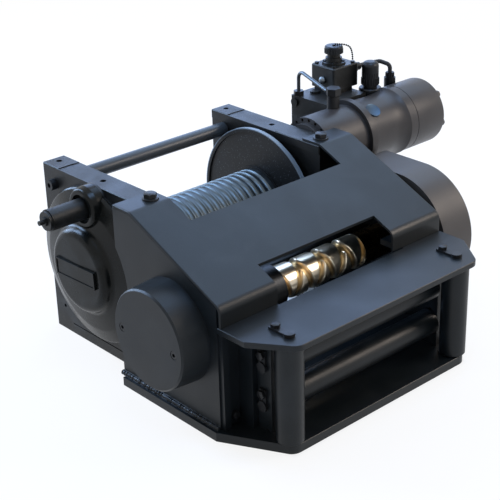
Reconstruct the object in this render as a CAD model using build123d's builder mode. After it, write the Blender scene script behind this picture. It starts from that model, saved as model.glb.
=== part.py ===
# Hydraulic winch with a grooved drum, a level wind on a reversing screw and a four-roller fairlead.
# X runs along the drum shaft towards the motor, +Y is the rear, +Z is up, all in millimetres.
# The origin is on the ground, straight below the middle of the drum.
import math
import os

from build123d import *

os.makedirs("parts", exist_ok=True)

# Clearances and sheet thickness
running_fit = 0.06
seat_gap = 0.3
sheet = 4

# Side brackets
bracket_outer = 210
bracket_inner = 166
half_depth = 142
rail_top = 310
rail_thickness = 16
foot_thickness = 20
left_web = 176
right_web = 168
web_outer = 200
tapped_hole = 5.1
pad_hole_pitch = 124.5

casting_edge = 1.5

# Drum and its shaft
axis_height = 166
barrel_radius = 67
flange_radius = 142
left_flange_radius = 130
flange_inner = 148
flange_thickness = 8
rope_pitch = 14.8
rope_radius = 7
bearing_shoulder = 190

# Motor line, above and in front of the drum shaft
motor_y = -63
motor_z = 270
brake_radius = 58

# Reversing screw and the traveller on it
screw_y = -239.4
screw_z = 149
screw_radius = 30
screw_half_length = 151
traveller_x = -85
traveller_half = 45
guide_rod_y = -186

# Enclosure of folded and flat plate
side_outer = 245
side_plate = 10
base_thickness = 15
base_half_width = 256
cover_rear = -101
cover_bend = -143.9
cover_front = -349
cover_top = rail_top + sheet + seat_gap
cover_low = 223.4

plate_edge = 0.8

# Fairlead
top_plate_low = 181
top_plate_thickness = 10
roller_radius = 22
vertical_roller_x = 187
vertical_roller_y = -433
roller_spacing = 3
horizontal_roller_y = vertical_roller_y + 2 * roller_radius + roller_spacing
upper_roller_z = 124
lower_roller_z = 57
pin_radius = 9
cheek_inner = 195
cheek_plate = 10
roller_bracket_inner = 183

# Gears: tooth counts and modules
gear_module = 3
sun_teeth = 18
planet_teeth = 15
ring_teeth = 48
take_off_module = 2.5
drum_gear_teeth = 40
lay_gear_teeth = 56
chain_pitch = 12.7
small_sprocket_teeth = 19
large_sprocket_teeth = 46

# Working values from the sizes above
rest = (Align.CENTER, Align.CENTER, Align.MIN)
pitch_angle = math.atan2(cover_top - cover_low, cover_bend - cover_front)
cover_slope = math.tan(pitch_angle)
motor_reach = math.hypot(motor_y, motor_z - axis_height)
motor_direction = math.degrees(math.atan2(motor_z - axis_height, motor_y))
pinion_teeth = 17
bull_teeth = round(2 * motor_reach / gear_module) - pinion_teeth
gear_reach = gear_module * (pinion_teeth + bull_teeth) / 2
lay_reach = take_off_module * (drum_gear_teeth + lay_gear_teeth) / 2
lay_direction = 225
lay_y = lay_reach * math.cos(math.radians(lay_direction))
lay_z = axis_height + lay_reach * math.sin(math.radians(lay_direction))
planet_reach = gear_module * (sun_teeth + planet_teeth) / 2
top_plate_top = top_plate_low + top_plate_thickness


def bar(start, stop, radius, y=0, z=axis_height, mode=Mode.ADD):
    """A round bar along X between two stations."""
    with Locations(Location((start, y, z), (0, 90, 0))):
        Cylinder(radius, stop - start, align=rest, mode=mode)


def tube(start, stop, radius, bore, y=0, z=axis_height):
    """A round tube along X between two stations."""
    bar(start, stop, radius, y, z)
    bar(start, stop, bore, y, z, mode=Mode.SUBTRACT)


def block(x, y, z, mode=Mode.ADD):
    """A box given by its low and high limit on each axis."""
    with Locations((sum(x) / 2, sum(y) / 2, sum(z) / 2)):
        Box(x[1] - x[0], y[1] - y[0], z[1] - z[0], mode=mode)


def post(x, y, bottom, top, radius, mode=Mode.ADD):
    """A round post standing on a height."""
    with Locations((x, y, bottom)):
        Cylinder(radius, top - bottom, align=rest, mode=mode)


def hex_post(x, y, bottom, top, flats, mode=Mode.ADD):
    """A hexagonal post standing on a height, given by its width across flats."""
    with BuildSketch(Plane.XY.offset(bottom)) as shape:
        with Locations((x, y)):
            RegularPolygon(flats / 2, 6, major_radius=False)
    extrude(shape.sketch, amount=top - bottom, mode=mode)


def hex_bar(start, stop, flats, y, z, mode=Mode.ADD):
    """A hexagonal bar along X between two stations."""
    with BuildSketch(Plane.YZ.offset(start)) as shape:
        with Locations((y, z)):
            RegularPolygon(flats / 2, 6, major_radius=False)
    extrude(shape.sketch, amount=stop - start, mode=mode)


def toothed(start, stop, teeth, module, y, z, turn=0, mode=Mode.ADD, tip=0.9, root=1.2, thick=1.0):
    """A spur gear along X; the first tooth points at the turn angle, measured from +Y to +Z."""
    radius = teeth * module / 2
    step = 360 / teeth
    points = []
    for tooth in range(teeth):
        middle = turn + tooth * step
        for reach, share in ((-root, -0.32), (tip, -0.12), (tip, 0.12), (-root, 0.32)):
            angle = math.radians(middle + share * step * thick)
            distance = radius + reach * module
            points.append((y + distance * math.cos(angle), z + distance * math.sin(angle)))
    with BuildSketch(Plane.YZ.offset(start)) as shape:
        with BuildLine():
            Polyline(*points, close=True)
        make_face()
    extrude(shape.sketch, amount=stop - start, mode=mode)


def sprocket(start, stop, teeth, y, z, turn=0):
    """A chain sprocket along X, its tooth gaps cut round the rollers."""
    pitch_radius = chain_pitch / (2 * math.sin(math.pi / teeth))
    bar(start, stop, pitch_radius + 4, y, z)
    for gap in range(teeth):
        angle = math.radians(turn + gap * 360 / teeth)
        middle = (y + pitch_radius * math.cos(angle), z + pitch_radius * math.sin(angle))
        bar(start, stop, 4.4, middle[0], middle[1], mode=Mode.SUBTRACT)


def save(part, name):
    """Labels a part and writes its file."""
    part.label = name
    export_step(part, f"parts/{name}.step")


# Left side bracket: web, rails, gear ring and the seat of the clutch cylinder
ring_radius = 136.5
ring_face = 219.5
bracket_ring = ring_face - 5
clutch_stop = 196
clutch_y = -7
clutch_z = axis_height + 111
clutch_face = 241
clutch_bore = 24.4
clutch_floor = 232
hub_wall_radius = 36
clutch_radius = 18
clutch_fit = 0.05
bearing_outer = 85
journal_radius = 60
case_bore = 90


def bracket_blank(side, web_inner):
    """Web, top rail, foot and posts of one bracket; side is -1 on the left and 1 on the right."""
    depth = (-half_depth, half_depth)
    height = (foot_thickness, rail_top - rail_thickness)
    block(sorted((side * bracket_outer, side * bracket_inner)), depth, (0, rail_top))
    chamfer(edges().group_by(Axis.Z)[-1] + edges().filter_by(Axis.Z), casting_edge)
    block(sorted((side * bracket_inner, side * web_inner)), depth, height, mode=Mode.SUBTRACT)


def rail_details(side):
    """Machined pads, tapped holes and foot holes of one bracket."""
    land = sorted((side * bracket_inner, side * bracket_outer))
    step_depth = 1.2
    block(land, (-31.5, 96.6), (rail_top - step_depth, rail_top), mode=Mode.SUBTRACT)
    middle = side * (bracket_inner + bracket_outer) / 2
    for y in (-pad_hole_pitch, 0, pad_hole_pitch):
        post(middle, y, rail_top - 28, rail_top, tapped_hole, mode=Mode.SUBTRACT)
    for y in (-110, 110):
        post(middle, y, 0, foot_thickness + 12, 7, mode=Mode.SUBTRACT)


tie_y = 110
tie_z = rail_top - 31
tie_radius = 12.5
tie_thread = 7


with BuildPart() as left_bracket:
    bracket_blank(-1, left_web)
    bar(-bracket_ring, -left_web, ring_radius)
    bar(-bracket_ring, -bracket_outer, hub_wall_radius, clutch_y, clutch_z)
    rail_details(-1)
    bar(-bracket_ring, -clutch_stop, clutch_radius + clutch_fit, clutch_y, clutch_z, mode=Mode.SUBTRACT)
    bar(-clutch_stop - 2, -clutch_stop + 12, 7.1, clutch_y, clutch_z, mode=Mode.SUBTRACT)
    bar(-bracket_ring, -bearing_shoulder, case_bore, mode=Mode.SUBTRACT)
    bar(-bearing_shoulder, -left_web, bearing_outer + 0.05, mode=Mode.SUBTRACT)
    bar(-bracket_outer, -bracket_inner, tie_thread, tie_y, tie_z, mode=Mode.SUBTRACT)
    foot_line = (foot_thickness - 2, foot_thickness)
    block((-bracket_outer, -bracket_outer + 1.5), (-60, 92), foot_line, Mode.SUBTRACT)
    bar(-bracket_outer, -bracket_outer + 10, 3.2, 113, 47, mode=Mode.SUBTRACT)
save(left_bracket.part, "left_bracket")

# Right side bracket: a pocket for the reduction gears, closed from outside by a plate
gear_pocket = (174, web_outer)
bull_room = gear_module * bull_teeth / 2 + 7
pinion_room = gear_module * pinion_teeth / 2 + 6
gear_y = gear_reach * math.cos(math.radians(motor_direction))
gear_z = axis_height + gear_reach * math.sin(math.radians(motor_direction))
hub_radius = 44
hub_end = 126


def gear_outline(start, stop, extra, mode):
    """The egg shape round both gears, widened by a margin."""
    with BuildSketch(Plane.YZ.offset(start)) as shape:
        with Locations((0, axis_height)):
            Circle(bull_room + extra)
        with Locations((gear_y, gear_z)):
            Circle(pinion_room + extra)
        make_hull()
    extrude(shape.sketch, amount=stop - start, mode=mode)


with BuildPart() as right_bracket:
    bracket_blank(1, right_web)
    recess_depth = (-100, half_depth - 12)
    recess_height = (foot_thickness, rail_top - rail_thickness)
    block((web_outer, bracket_outer), recess_depth, recess_height, Mode.SUBTRACT)
    rail_details(1)
    bar(hub_end, right_web + 2, hub_radius)
    gear_outline(gear_pocket[0], gear_pocket[1], 0, Mode.SUBTRACT)
    gear_outline(gear_pocket[1], bracket_outer, 2.3, Mode.SUBTRACT)
    bar(hub_end, gear_pocket[0], 20.3, mode=Mode.SUBTRACT)
    bar(bracket_inner, bracket_outer, tie_thread, tie_y, tie_z, mode=Mode.SUBTRACT)
    bar(right_web, bracket_outer, 13, lay_y, lay_z, mode=Mode.SUBTRACT)
save(right_bracket.part, "right_bracket")

# Plate that closes the gear pocket and carries the motor
plate_outer = bracket_outer
with BuildPart() as gear_cover_plate:
    gear_outline(gear_pocket[1], plate_outer, 2, Mode.ADD)
    bar(gear_pocket[1], plate_outer, 12.3, gear_y, gear_z, mode=Mode.SUBTRACT)
    bar(gear_pocket[1], gear_pocket[1] + 7, 12.05, mode=Mode.SUBTRACT)
save(gear_cover_plate.part, "gear_cover_plate")

# Tie rod between the brackets, and its bolts with washers
with BuildPart() as tie_rod:
    bar(-left_web, right_web, tie_radius, tie_y, tie_z)
    bar(-left_web, -left_web + 42, tie_thread, tie_y, tie_z, mode=Mode.SUBTRACT)
    bar(right_web - 42, right_web, tie_thread, tie_y, tie_z, mode=Mode.SUBTRACT)
save(tie_rod.part, "tie_rod")

with BuildPart() as tie_rod_bolts:
    # A socket head on the flush left face, a hexagon with a washer in the right recess
    bar(-bracket_outer, -left_web + 38, tie_thread - 0.05, tie_y, tie_z)
    bar(-bracket_outer - 12, -bracket_outer, 9.5, tie_y, tie_z)
    hex_bar(-bracket_outer - 12, -bracket_outer - 6, 8, tie_y, tie_z, Mode.SUBTRACT)
    bar(right_web - 38, web_outer, tie_thread - 0.05, tie_y, tie_z)
    bar(web_outer, web_outer + 4, 14.5, tie_y, tie_z)
    hex_bar(web_outer + 4, web_outer + 16, 22, tie_y, tie_z)
save(tie_rod_bolts.part, "tie_rod_bolts")

# Domed end cover over the planetary gears, with a bare raised plate
dome_face = 256
plate_size = (107, 30)
plate_tilt = -2.5
plate_rim = 2.6
cavity_end = 229.5
carrier_room = (239.5, 62)
with BuildPart() as gear_case_cover:
    back = -bracket_ring - seat_gap
    with BuildSketch(Plane.XZ) as profile:
        with BuildLine():
            outline = (
                (back, axis_height),
                (back, axis_height + ring_radius),
                (-ring_face - 1.5, axis_height + ring_radius),
                (-231.5, axis_height + 110),
                (-238, axis_height + 77),
                (-254, axis_height + 70),
                (-dome_face, axis_height),
            )
            Polyline(*outline, close=True)
        make_face()
        for corner, radius in ((2, 6), (3, 24), (4, 9), (5, 15)):
            place = Vector(outline[corner][0], outline[corner][1], 0)
            nearest = profile.vertices().sort_by_distance(place)[0]
            fillet(nearest, radius)
    shaft_axis = Axis((0, 0, axis_height), (1, 0, 0))
    revolve(profile.sketch, axis=shaft_axis)
    with BuildSketch(Plane.XZ.offset(-clutch_y)) as hub:
        with BuildLine():
            hub_outline = (
                (back, clutch_z),
                (back, clutch_z + hub_wall_radius),
                (-228, clutch_z + hub_wall_radius),
                (-clutch_face, clutch_z + hub_wall_radius - 3),
                (-clutch_face, clutch_z),
            )
            Polyline(*hub_outline, close=True)
        make_face()
        mouth = Vector(hub_outline[3][0], hub_outline[3][1], 0)
        fillet(hub.vertices().sort_by_distance(mouth)[0], 6)
    revolve(hub.sketch, axis=Axis((0, clutch_y, clutch_z), (1, 0, 0)))
    bar(-cavity_end, back, case_bore, mode=Mode.SUBTRACT)
    bar(-carrier_room[0], -cavity_end, carrier_room[1], mode=Mode.SUBTRACT)
    # A raised plate with a thin rim, bare inside
    plate_top = dome_face + 3
    for border, depth, kind in ((0, 6, Mode.ADD), (2 * plate_rim, 1.4, Mode.SUBTRACT)):
        with BuildSketch(Plane.YZ.offset(-plate_top)) as pad:
            with Locations(Location((0, axis_height, 0), (0, 0, plate_tilt))):
                Rectangle(plate_size[0] - border, plate_size[1] - border)
        extrude(pad.sketch, amount=depth, mode=kind)
    bar(-clutch_face, -clutch_floor, clutch_bore, clutch_y, clutch_z, mode=Mode.SUBTRACT)
    bar(-clutch_floor, back, clutch_radius + clutch_fit, clutch_y, clutch_z, mode=Mode.SUBTRACT)
    hex_bar(-246, -230, 11, clutch_y + 3, clutch_z - 44)
save(gear_case_cover.part, "gear_case_cover")

# Clutch cylinder in the upper seat, with its end fitting
clutch_end = 304
with BuildPart() as clutch_cylinder:
    tube(-clutch_end, -clutch_stop, clutch_radius, 7.05, clutch_y, clutch_z)
    bar(-clutch_end - 5, -clutch_end, 16, clutch_y, clutch_z)
    bar(-clutch_end, -262, 13, clutch_y, clutch_z, mode=Mode.SUBTRACT)
    hex_bar(-clutch_end - 8, -clutch_end - 5, 13, clutch_y, clutch_z)
    bar(-clutch_end - 17, -clutch_end - 8, 4, clutch_y, clutch_z)
save(clutch_cylinder.part, "clutch_cylinder")

with BuildPart() as clutch_rod:
    bar(-266, -186, 7, clutch_y, clutch_z)
    bar(-280, -266, 12.95, clutch_y, clutch_z)
save(clutch_rod.part, "clutch_rod")

# Grooved drum with thin flanges, hollow journals and a ring of take-off teeth
groove_count = 19
drum_bore = 50
shaft_radius = 14
with BuildPart() as drum:
    bar(-flange_inner - flange_thickness, flange_inner + flange_thickness, barrel_radius)
    for side, rim_radius in ((-1, left_flange_radius), (1, flange_radius)):
        low, high = sorted((side * flange_inner, side * (flange_inner + flange_thickness)))
        bar(low, high, rim_radius)
        rim = side * flange_inner
        low, high = sorted((rim, rim + side * 3))
        bar(low, high, rim_radius - 7, mode=Mode.SUBTRACT)
        bar(low, high, barrel_radius + 4)
    groove_span = groove_count * rope_pitch
    with BuildSketch(Plane.XZ) as groove:
        for turn in range(groove_count):
            x = -groove_span / 2 + (turn + 0.5) * rope_pitch
            with Locations((x, axis_height + barrel_radius + rope_radius - 3.4)):
                Circle(rope_radius)
    revolve(groove.sketch, axis=shaft_axis, mode=Mode.SUBTRACT)
    bar(-196, -flange_inner, journal_radius)
    bar(-200, -100, 40.05, mode=Mode.SUBTRACT)
    bar(-101, 160, drum_bore + 0.05, mode=Mode.SUBTRACT)
save(drum.part, "drum")

take_off = (157, 164.6)
with BuildPart() as drum_gear:
    toothed(take_off[0], take_off[1], drum_gear_teeth, take_off_module, 0, axis_height, lay_direction)
    bar(flange_inner + flange_thickness, take_off[1], 46)
    bar(flange_inner + flange_thickness, take_off[1], 45.4, mode=Mode.SUBTRACT)
save(drum_gear.part, "drum_gear")

# Drum bearings: one in the left bracket, one on the hub of the right bracket
with BuildPart() as drum_bearings:
    tube(-bearing_shoulder, -left_web, bearing_outer, journal_radius + running_fit)
    tube(hub_end + 4, hub_end + 22, drum_bore - running_fit, hub_radius + 0.05)
    tube(hub_end + 2, hub_end + 26, 20.25, shaft_radius + running_fit)
save(drum_bearings.part, "drum_bearings")

# Planetary gears between the left bracket and the domed cover
gear_start = -228
gear_stop = -212
carrier_end = -236.5
carrier_disc = -230.5
ring_outer = case_bore - 0.05
with BuildPart() as ring_gear:
    bar(gear_start, gear_stop, ring_outer)
    toothed(gear_start, gear_stop, ring_teeth, gear_module, 0, axis_height, 0,
            mode=Mode.SUBTRACT, tip=1.2, root=0.9, thick=1.45)
save(ring_gear.part, "ring_gear")

with BuildPart() as sun_shaft:
    toothed(gear_start, gear_stop, sun_teeth, gear_module, 0, axis_height, 0)
    bar(gear_start, gear_pocket[1] - 1, shaft_radius)
    bar(gear_pocket[1] - 1, gear_pocket[1] + 6, 12)
save(sun_shaft.part, "sun_shaft")

for number in range(3):
    place = math.radians(number * 120)
    planet_y = planet_reach * math.cos(place)
    planet_z = axis_height + planet_reach * math.sin(place)
    # The gap of each planet faces a tooth of the sun, and its far tooth meets a gap of the ring.
    turn = number * 120 + 180 + 180 / planet_teeth
    with BuildPart() as planet:
        toothed(gear_start, gear_stop, planet_teeth, gear_module, planet_y, planet_z, turn)
        bar(gear_start, gear_stop, 8 + running_fit, planet_y, planet_z, mode=Mode.SUBTRACT)
    save(planet.part, f"planet_{number + 1}")

with BuildPart() as planet_carrier:
    bar(-209, -199, 74)
    bar(-199, -140, 40)
    bar(carrier_end, carrier_disc, 60)
    for number in range(3):
        place = math.radians(number * 120)
        planet_y = planet_reach * math.cos(place)
        planet_z = axis_height + planet_reach * math.sin(place)
        bar(carrier_end, -209, 8, planet_y, planet_z)
    bar(carrier_end, carrier_disc, 42, mode=Mode.SUBTRACT)
    bar(-209, -140, shaft_radius + 0.4, mode=Mode.SUBTRACT)
save(planet_carrier.part, "planet_carrier")

# Reduction gears in the right bracket
with BuildPart() as bull_gear:
    toothed(176, 198, bull_teeth, gear_module, 0, axis_height, motor_direction)
    bar(176, 198, shaft_radius + 0.02, mode=Mode.SUBTRACT)
save(bull_gear.part, "bull_gear")

with BuildPart() as motor_pinion:
    toothed(176, 198, pinion_teeth, gear_module, gear_y, gear_z,
            motor_direction + 180 + 180 / pinion_teeth)
    bar(198, 300, 12, gear_y, gear_z)
save(motor_pinion.part, "motor_pinion")

# Lay shaft from the drum gear to the chain, and the chain drive in its case
case_back = 262
case_front = 336
case_wall = 4
case_radius = 110
chain_x = (290, 297)
lay_shaft_radius = 12
with BuildPart() as lay_shaft:
    toothed(take_off[0] + 0.4, take_off[1], lay_gear_teeth, take_off_module, lay_y, lay_z,
            lay_direction + 180 + 180 / lay_gear_teeth)
    bar(take_off[0] + 0.4, 310, lay_shaft_radius, lay_y, lay_z)
save(lay_shaft.part, "lay_shaft")

chain_reach = math.hypot(screw_y - lay_y, screw_z - lay_z)
chain_direction = math.degrees(math.atan2(screw_z - lay_z, screw_y - lay_y))
small_radius = chain_pitch / (2 * math.sin(math.pi / small_sprocket_teeth))
large_radius = chain_pitch / (2 * math.sin(math.pi / large_sprocket_teeth))
with BuildPart() as lay_sprocket:
    sprocket(chain_x[0], chain_x[1], small_sprocket_teeth, lay_y, lay_z, chain_direction + 180)
    bar(chain_x[0], chain_x[1], 12.02, lay_y, lay_z, mode=Mode.SUBTRACT)
save(lay_sprocket.part, "lay_sprocket")

with BuildPart() as screw_sprocket:
    sprocket(chain_x[0], chain_x[1], large_sprocket_teeth, screw_y, screw_z, chain_direction)
    for hole in range(6):
        angle = math.radians(hole * 60)
        hole_y = screw_y + 58 * math.cos(angle)
        hole_z = screw_z + 58 * math.sin(angle)
        bar(chain_x[0], chain_x[1], 18, hole_y, hole_z, mode=Mode.SUBTRACT)
    bar(chain_x[0], chain_x[1], 15.02, screw_y, screw_z, mode=Mode.SUBTRACT)
save(screw_sprocket.part, "screw_sprocket")


def chain_band(start, stop):
    """One row of link plates: a loop of even width round both sprockets."""
    with BuildSketch(Plane.YZ.offset(start)) as loop:
        for width, kind in ((6, Mode.ADD), (-6, Mode.SUBTRACT)):
            with BuildSketch(mode=Mode.PRIVATE) as hull:
                with Locations((lay_y, lay_z)):
                    Circle(small_radius + width)
                with Locations((screw_y, screw_z)):
                    Circle(large_radius + width)
                make_hull()
            add(hull.sketch, mode=kind)
    extrude(loop.sketch, amount=stop - start)


with BuildPart() as chain:
    chain_band(chain_x[0] - 3.5, chain_x[0] - 0.5)
    chain_band(chain_x[1] + 0.5, chain_x[1] + 3.5)
    # Rollers on the two straight runs, clear of the sprocket teeth
    spread = math.degrees(math.asin((large_radius - small_radius) / chain_reach))
    roller = 3.9
    tooth_room = roller + 4.5
    for side in (-1, 1):
        normal = math.radians(chain_direction + side * (90 + spread))
        first = (lay_y + small_radius * math.cos(normal), lay_z + small_radius * math.sin(normal))
        last = (screw_y + large_radius * math.cos(normal), screw_z + large_radius * math.sin(normal))
        count = round(math.dist(first, last) / chain_pitch)
        for link in range(count + 1):
            share = link / count
            place = (first[0] + share * (last[0] - first[0]), first[1] + share * (last[1] - first[1]))
            near_small = math.dist(place, (lay_y, lay_z)) < small_radius + tooth_room
            near_large = math.dist(place, (screw_y, screw_z)) < large_radius + tooth_room
            if not near_small and not near_large:
                bar(chain_x[0] - 2, chain_x[1] + 2, roller, place[0], place[1])
save(chain.part, "chain")

case_rear = -127
lobe_radius = small_radius + 17


def case_outline(start, stop, inset, mode=Mode.ADD):
    """The chain case: round at the front, flat on top, with a low lobe round the lay shaft."""
    with BuildSketch(Plane.YZ.offset(start)) as shape:
        with Locations((screw_y, screw_z)):
            Circle(case_radius - inset)
        with Locations(((screw_y + case_rear) / 2, screw_z)):
            Rectangle(case_rear - screw_y - 2 * inset + inset, 2 * (case_radius - inset))
        with BuildSketch(mode=Mode.PRIVATE) as lobe:
            with Locations((lay_y, lay_z)):
                Circle(lobe_radius - inset)
            with Locations((screw_y, screw_z)):
                Circle(case_radius - inset)
            make_hull()
        add(lobe.sketch)
    extrude(shape.sketch, amount=stop - start, mode=mode)


with BuildPart() as chain_case:
    case_outline(case_back, case_front, 0)
    top_corner = chain_case.edges().filter_by(Axis.X).group_by(Axis.Z)[-1].sort_by(Axis.Y)[-1]
    fillet(top_corner, 26)
    outer_rim = chain_case.faces().sort_by(Axis.X)[-1].edges()
    fillet(outer_rim, 5)
    case_outline(case_back + case_wall, case_front - case_wall, case_wall, Mode.SUBTRACT)
    bar(case_back, case_back + case_wall, 24.3, screw_y, screw_z, mode=Mode.SUBTRACT)
    bar(case_back, case_back + case_wall, 13.3, lay_y, lay_z, mode=Mode.SUBTRACT)
    for y, z in ((screw_y - 70, screw_z), (screw_y, screw_z - 78), (screw_y + 70, screw_z + 40)):
        bar(side_outer, case_back + 1, 9, y, z)
save(chain_case.part, "chain_case")

# Reversing screw with crossed grooves between plain ends
chain_ratio = drum_gear_teeth / lay_gear_teeth * small_sprocket_teeth / large_sprocket_teeth
screw_lead = rope_pitch / chain_ratio
groove_depth = 7
groove_width = 13
groove_travel = 2 * (screw_half_length - 8)
plain_end_radius = 15
with BuildPart() as diamond_screw:
    bar(-screw_half_length, screw_half_length, screw_radius, screw_y, screw_z)
    start_point = (-groove_travel / 2, screw_y, screw_z)
    for left_hand in (False, True):
        helix = Helix(screw_lead, groove_travel, screw_radius, start_point, (1, 0, 0), lefthand=left_hand)
        first = helix @ 0
        outward = first - Vector(*start_point)
        with BuildSketch(Plane(origin=first, x_dir=outward, z_dir=helix % 0)) as cut:
            Rectangle(2 * groove_depth, groove_width)
        sweep(cut.sketch, path=helix, is_frenet=True, mode=Mode.SUBTRACT)
    bar(-side_outer - 30, -screw_half_length, plain_end_radius, screw_y, screw_z)
    bar(screw_half_length, 300, plain_end_radius, screw_y, screw_z)
save(diamond_screw.part, "diamond_screw")

# Folded cover over the level wind: flat at the rear, sloping to the front, with a short lip
notch_half = 166
window = (-130, 128)
lip_bottom = top_plate_top + seat_gap
cover_bolt_y = -pad_hole_pitch
cover_bolt_x = (bracket_inner + bracket_outer) / 2


def cover_points(inset, front, bottom):
    """The cover's outline in the YZ plane, moved inwards by an inset and cut off at a front plane."""
    drop = inset / math.cos(pitch_angle)
    top = cover_top - inset
    bend = cover_bend + (drop - inset) / cover_slope
    low = cover_top - drop - cover_slope * (cover_bend - front)
    return ((cover_rear, bottom), (cover_rear, top), (bend, top), (front, low), (front, bottom))


def cover_shape(inset, bend_radius, mode):
    """The solid under one face of the bent sheet."""
    points = cover_points(inset, cover_front + inset, lip_bottom)
    with BuildSketch(Plane.YZ.offset(-side_outer)) as shape:
        with BuildLine():
            Polyline(*points, close=True)
        make_face()
        bends = shape.vertices().sort_by(Axis.X)[:3].sort_by(Axis.Y)[1:]
        fillet(bends, bend_radius)
    extrude(shape.sketch, amount=2 * side_outer, mode=mode)


with BuildPart() as level_wind_cover:
    cover_shape(0, 15, Mode.ADD)
    ends = level_wind_cover.faces().filter_by(Axis.X)
    rims = ends[0].edges() + ends[-1].edges()
    rims = rims.filter_by(lambda edge: edge.center().Z > lip_bottom + 1 and edge.center().Y < cover_rear - 1)
    fillet(rims, 2.5)
    cover_shape(sheet, 15 - sheet, Mode.SUBTRACT)
    block((-notch_half, notch_half), (-194, cover_rear + 1), (200, cover_top + 1), Mode.SUBTRACT)
    block(window, (cover_front - 1, -306), (lip_bottom - 1, cover_top), Mode.SUBTRACT)
    for side in (-1, 1):
        post(side * cover_bolt_x, cover_bolt_y, rail_top, cover_top, 6.5, Mode.SUBTRACT)
    bar(ring_face - 2, side_outer + 1, brake_radius + 2, motor_y, motor_z, Mode.SUBTRACT)
save(level_wind_cover.part, "level_wind_cover")

with BuildPart() as cover_bolts:
    for side in (-1, 1):
        x = side * cover_bolt_x
        post(x, cover_bolt_y, rail_top - 24, cover_top, tapped_hole - 0.05)
        post(x, cover_bolt_y, cover_top, cover_top + 2.5, 13.5)
        hex_post(x, cover_bolt_y, cover_top + 2.5, cover_top + 10, 19)
save(cover_bolts.part, "cover_bolts")

# Side plates of the enclosure, each tied to its bracket by two welded blocks
side_inner = side_outer - side_plate
side_front = -341
block_depth = (-half_depth + 1, -half_depth + 17)
bearing_seat = 25
dome_room = 126
bead_width = 6


def side_wall(side):
    """One side plate with its blocks, bearing seat and weld bead."""
    points = cover_points(sheet + 2 * seat_gap, side_front, base_thickness)
    low, high = sorted((side * side_inner, side * side_outer))
    with BuildSketch(Plane.YZ.offset(low)) as shape:
        with BuildLine():
            Polyline(*points, close=True)
        make_face()
    extrude(shape.sketch, amount=side_plate)
    bar(low, high, bearing_seat, screw_y, screw_z, mode=Mode.SUBTRACT)
    bridge = sorted((side * (bracket_outer + seat_gap), side * side_inner))
    for height in ((25, 62), (rail_top - 55, rail_top - 10)):
        block(bridge, block_depth, height)
    edge = side * side_outer
    bead = (
        (edge, base_thickness),
        (edge + side * bead_width, base_thickness),
        (edge, base_thickness + bead_width),
    )
    with BuildSketch(Plane.XZ.offset(-side_front)) as weld:
        with BuildLine():
            Polyline(*bead, close=True)
        make_face()
    extrude(weld.sketch, amount=cover_rear - side_front, dir=(0, 1, 0))


with BuildPart() as left_side_plate:
    side_wall(-1)
    bar(-side_outer, -side_inner, dome_room, mode=Mode.SUBTRACT)
save(left_side_plate.part, "left_side_plate")

with BuildPart() as right_side_plate:
    side_wall(1)
    bar(bracket_outer, side_outer, brake_radius + 2, motor_y, motor_z, mode=Mode.SUBTRACT)
save(right_side_plate.part, "right_side_plate")

# Base plate: two strips beside the brackets, a chamfered front and holes for the roller pins
base_front = vertical_roller_y - 19.6
front_half = 196
chamfer_start = -343
strip_rear = -111.5
with BuildPart() as base_plate:
    with BuildSketch():
        outline = []
        for side in (-1, 1):
            half = [
                (side * front_half, base_front),
                (side * base_half_width, chamfer_start),
                (side * base_half_width, strip_rear),
                (side * (bracket_outer + 2), strip_rear),
                (side * (bracket_outer + 2), -half_depth - 1.3),
            ]
            outline += half if side == -1 else half[::-1]
        with BuildLine():
            Polyline(*outline, close=True)
        make_face()
    extrude(amount=base_thickness)
    front_corners = base_plate.edges().filter_by(Axis.Z).group_by(Axis.Y)[0]
    fillet(front_corners, 20)
    chamfer(base_plate.faces().sort_by(Axis.Z)[-1].edges().sort_by(Axis.Y)[:-6], plate_edge)
    for side in (-1, 1):
        post(side * vertical_roller_x, vertical_roller_y, 3, base_thickness, pin_radius, Mode.SUBTRACT)
save(base_plate.part, "base_plate")

# Upper plate of the fairlead
plate_front = vertical_roller_y - 32.6
keeper_y = vertical_roller_y + 28.7
window_room = 3
with BuildPart() as fairlead_top_plate:
    with BuildSketch(Plane.XY.offset(top_plate_low)):
        outline = []
        for side in (-1, 1):
            half = [
                (side * 199, plate_front),
                (side * (side_outer + 0.5), plate_front + 64.6),
                (side * (side_outer + 0.5), side_front - 1),
                (side * (side_inner - 0.5), side_front - 1),
                (side * (side_inner - 0.5), -300),
            ]
            outline += half if side == -1 else half[::-1]
        with BuildLine():
            Polyline(*outline, close=True)
        make_face()
    extrude(amount=top_plate_thickness)
    front_corners = fairlead_top_plate.edges().filter_by(Axis.Z).group_by(Axis.Y)[0]
    fillet(front_corners, 20)
    rims = fairlead_top_plate.faces().sort_by(Axis.Z)
    chamfer(rims[0].edges() + rims[-1].edges(), plate_edge)
    for side in (-1, 1):
        post(side * vertical_roller_x, vertical_roller_y, top_plate_low, top_plate_top, pin_radius,
             Mode.SUBTRACT)
        post(side * vertical_roller_x, keeper_y, top_plate_low, top_plate_top, 4, Mode.SUBTRACT)
    notch = (window[0], window[1] + 24)
    block(notch, (cover_front - window_room, -299), (top_plate_low, top_plate_top), Mode.SUBTRACT)
save(fairlead_top_plate.part, "fairlead_top_plate")

# Cheeks that close the front beside the rollers, and the brackets of the horizontal rollers
cheek_outer = cheek_inner + cheek_plate
panel_bolt = (216, 30)
strip_x = (230, 242)
frame_height = (base_thickness, top_plate_low)


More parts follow.
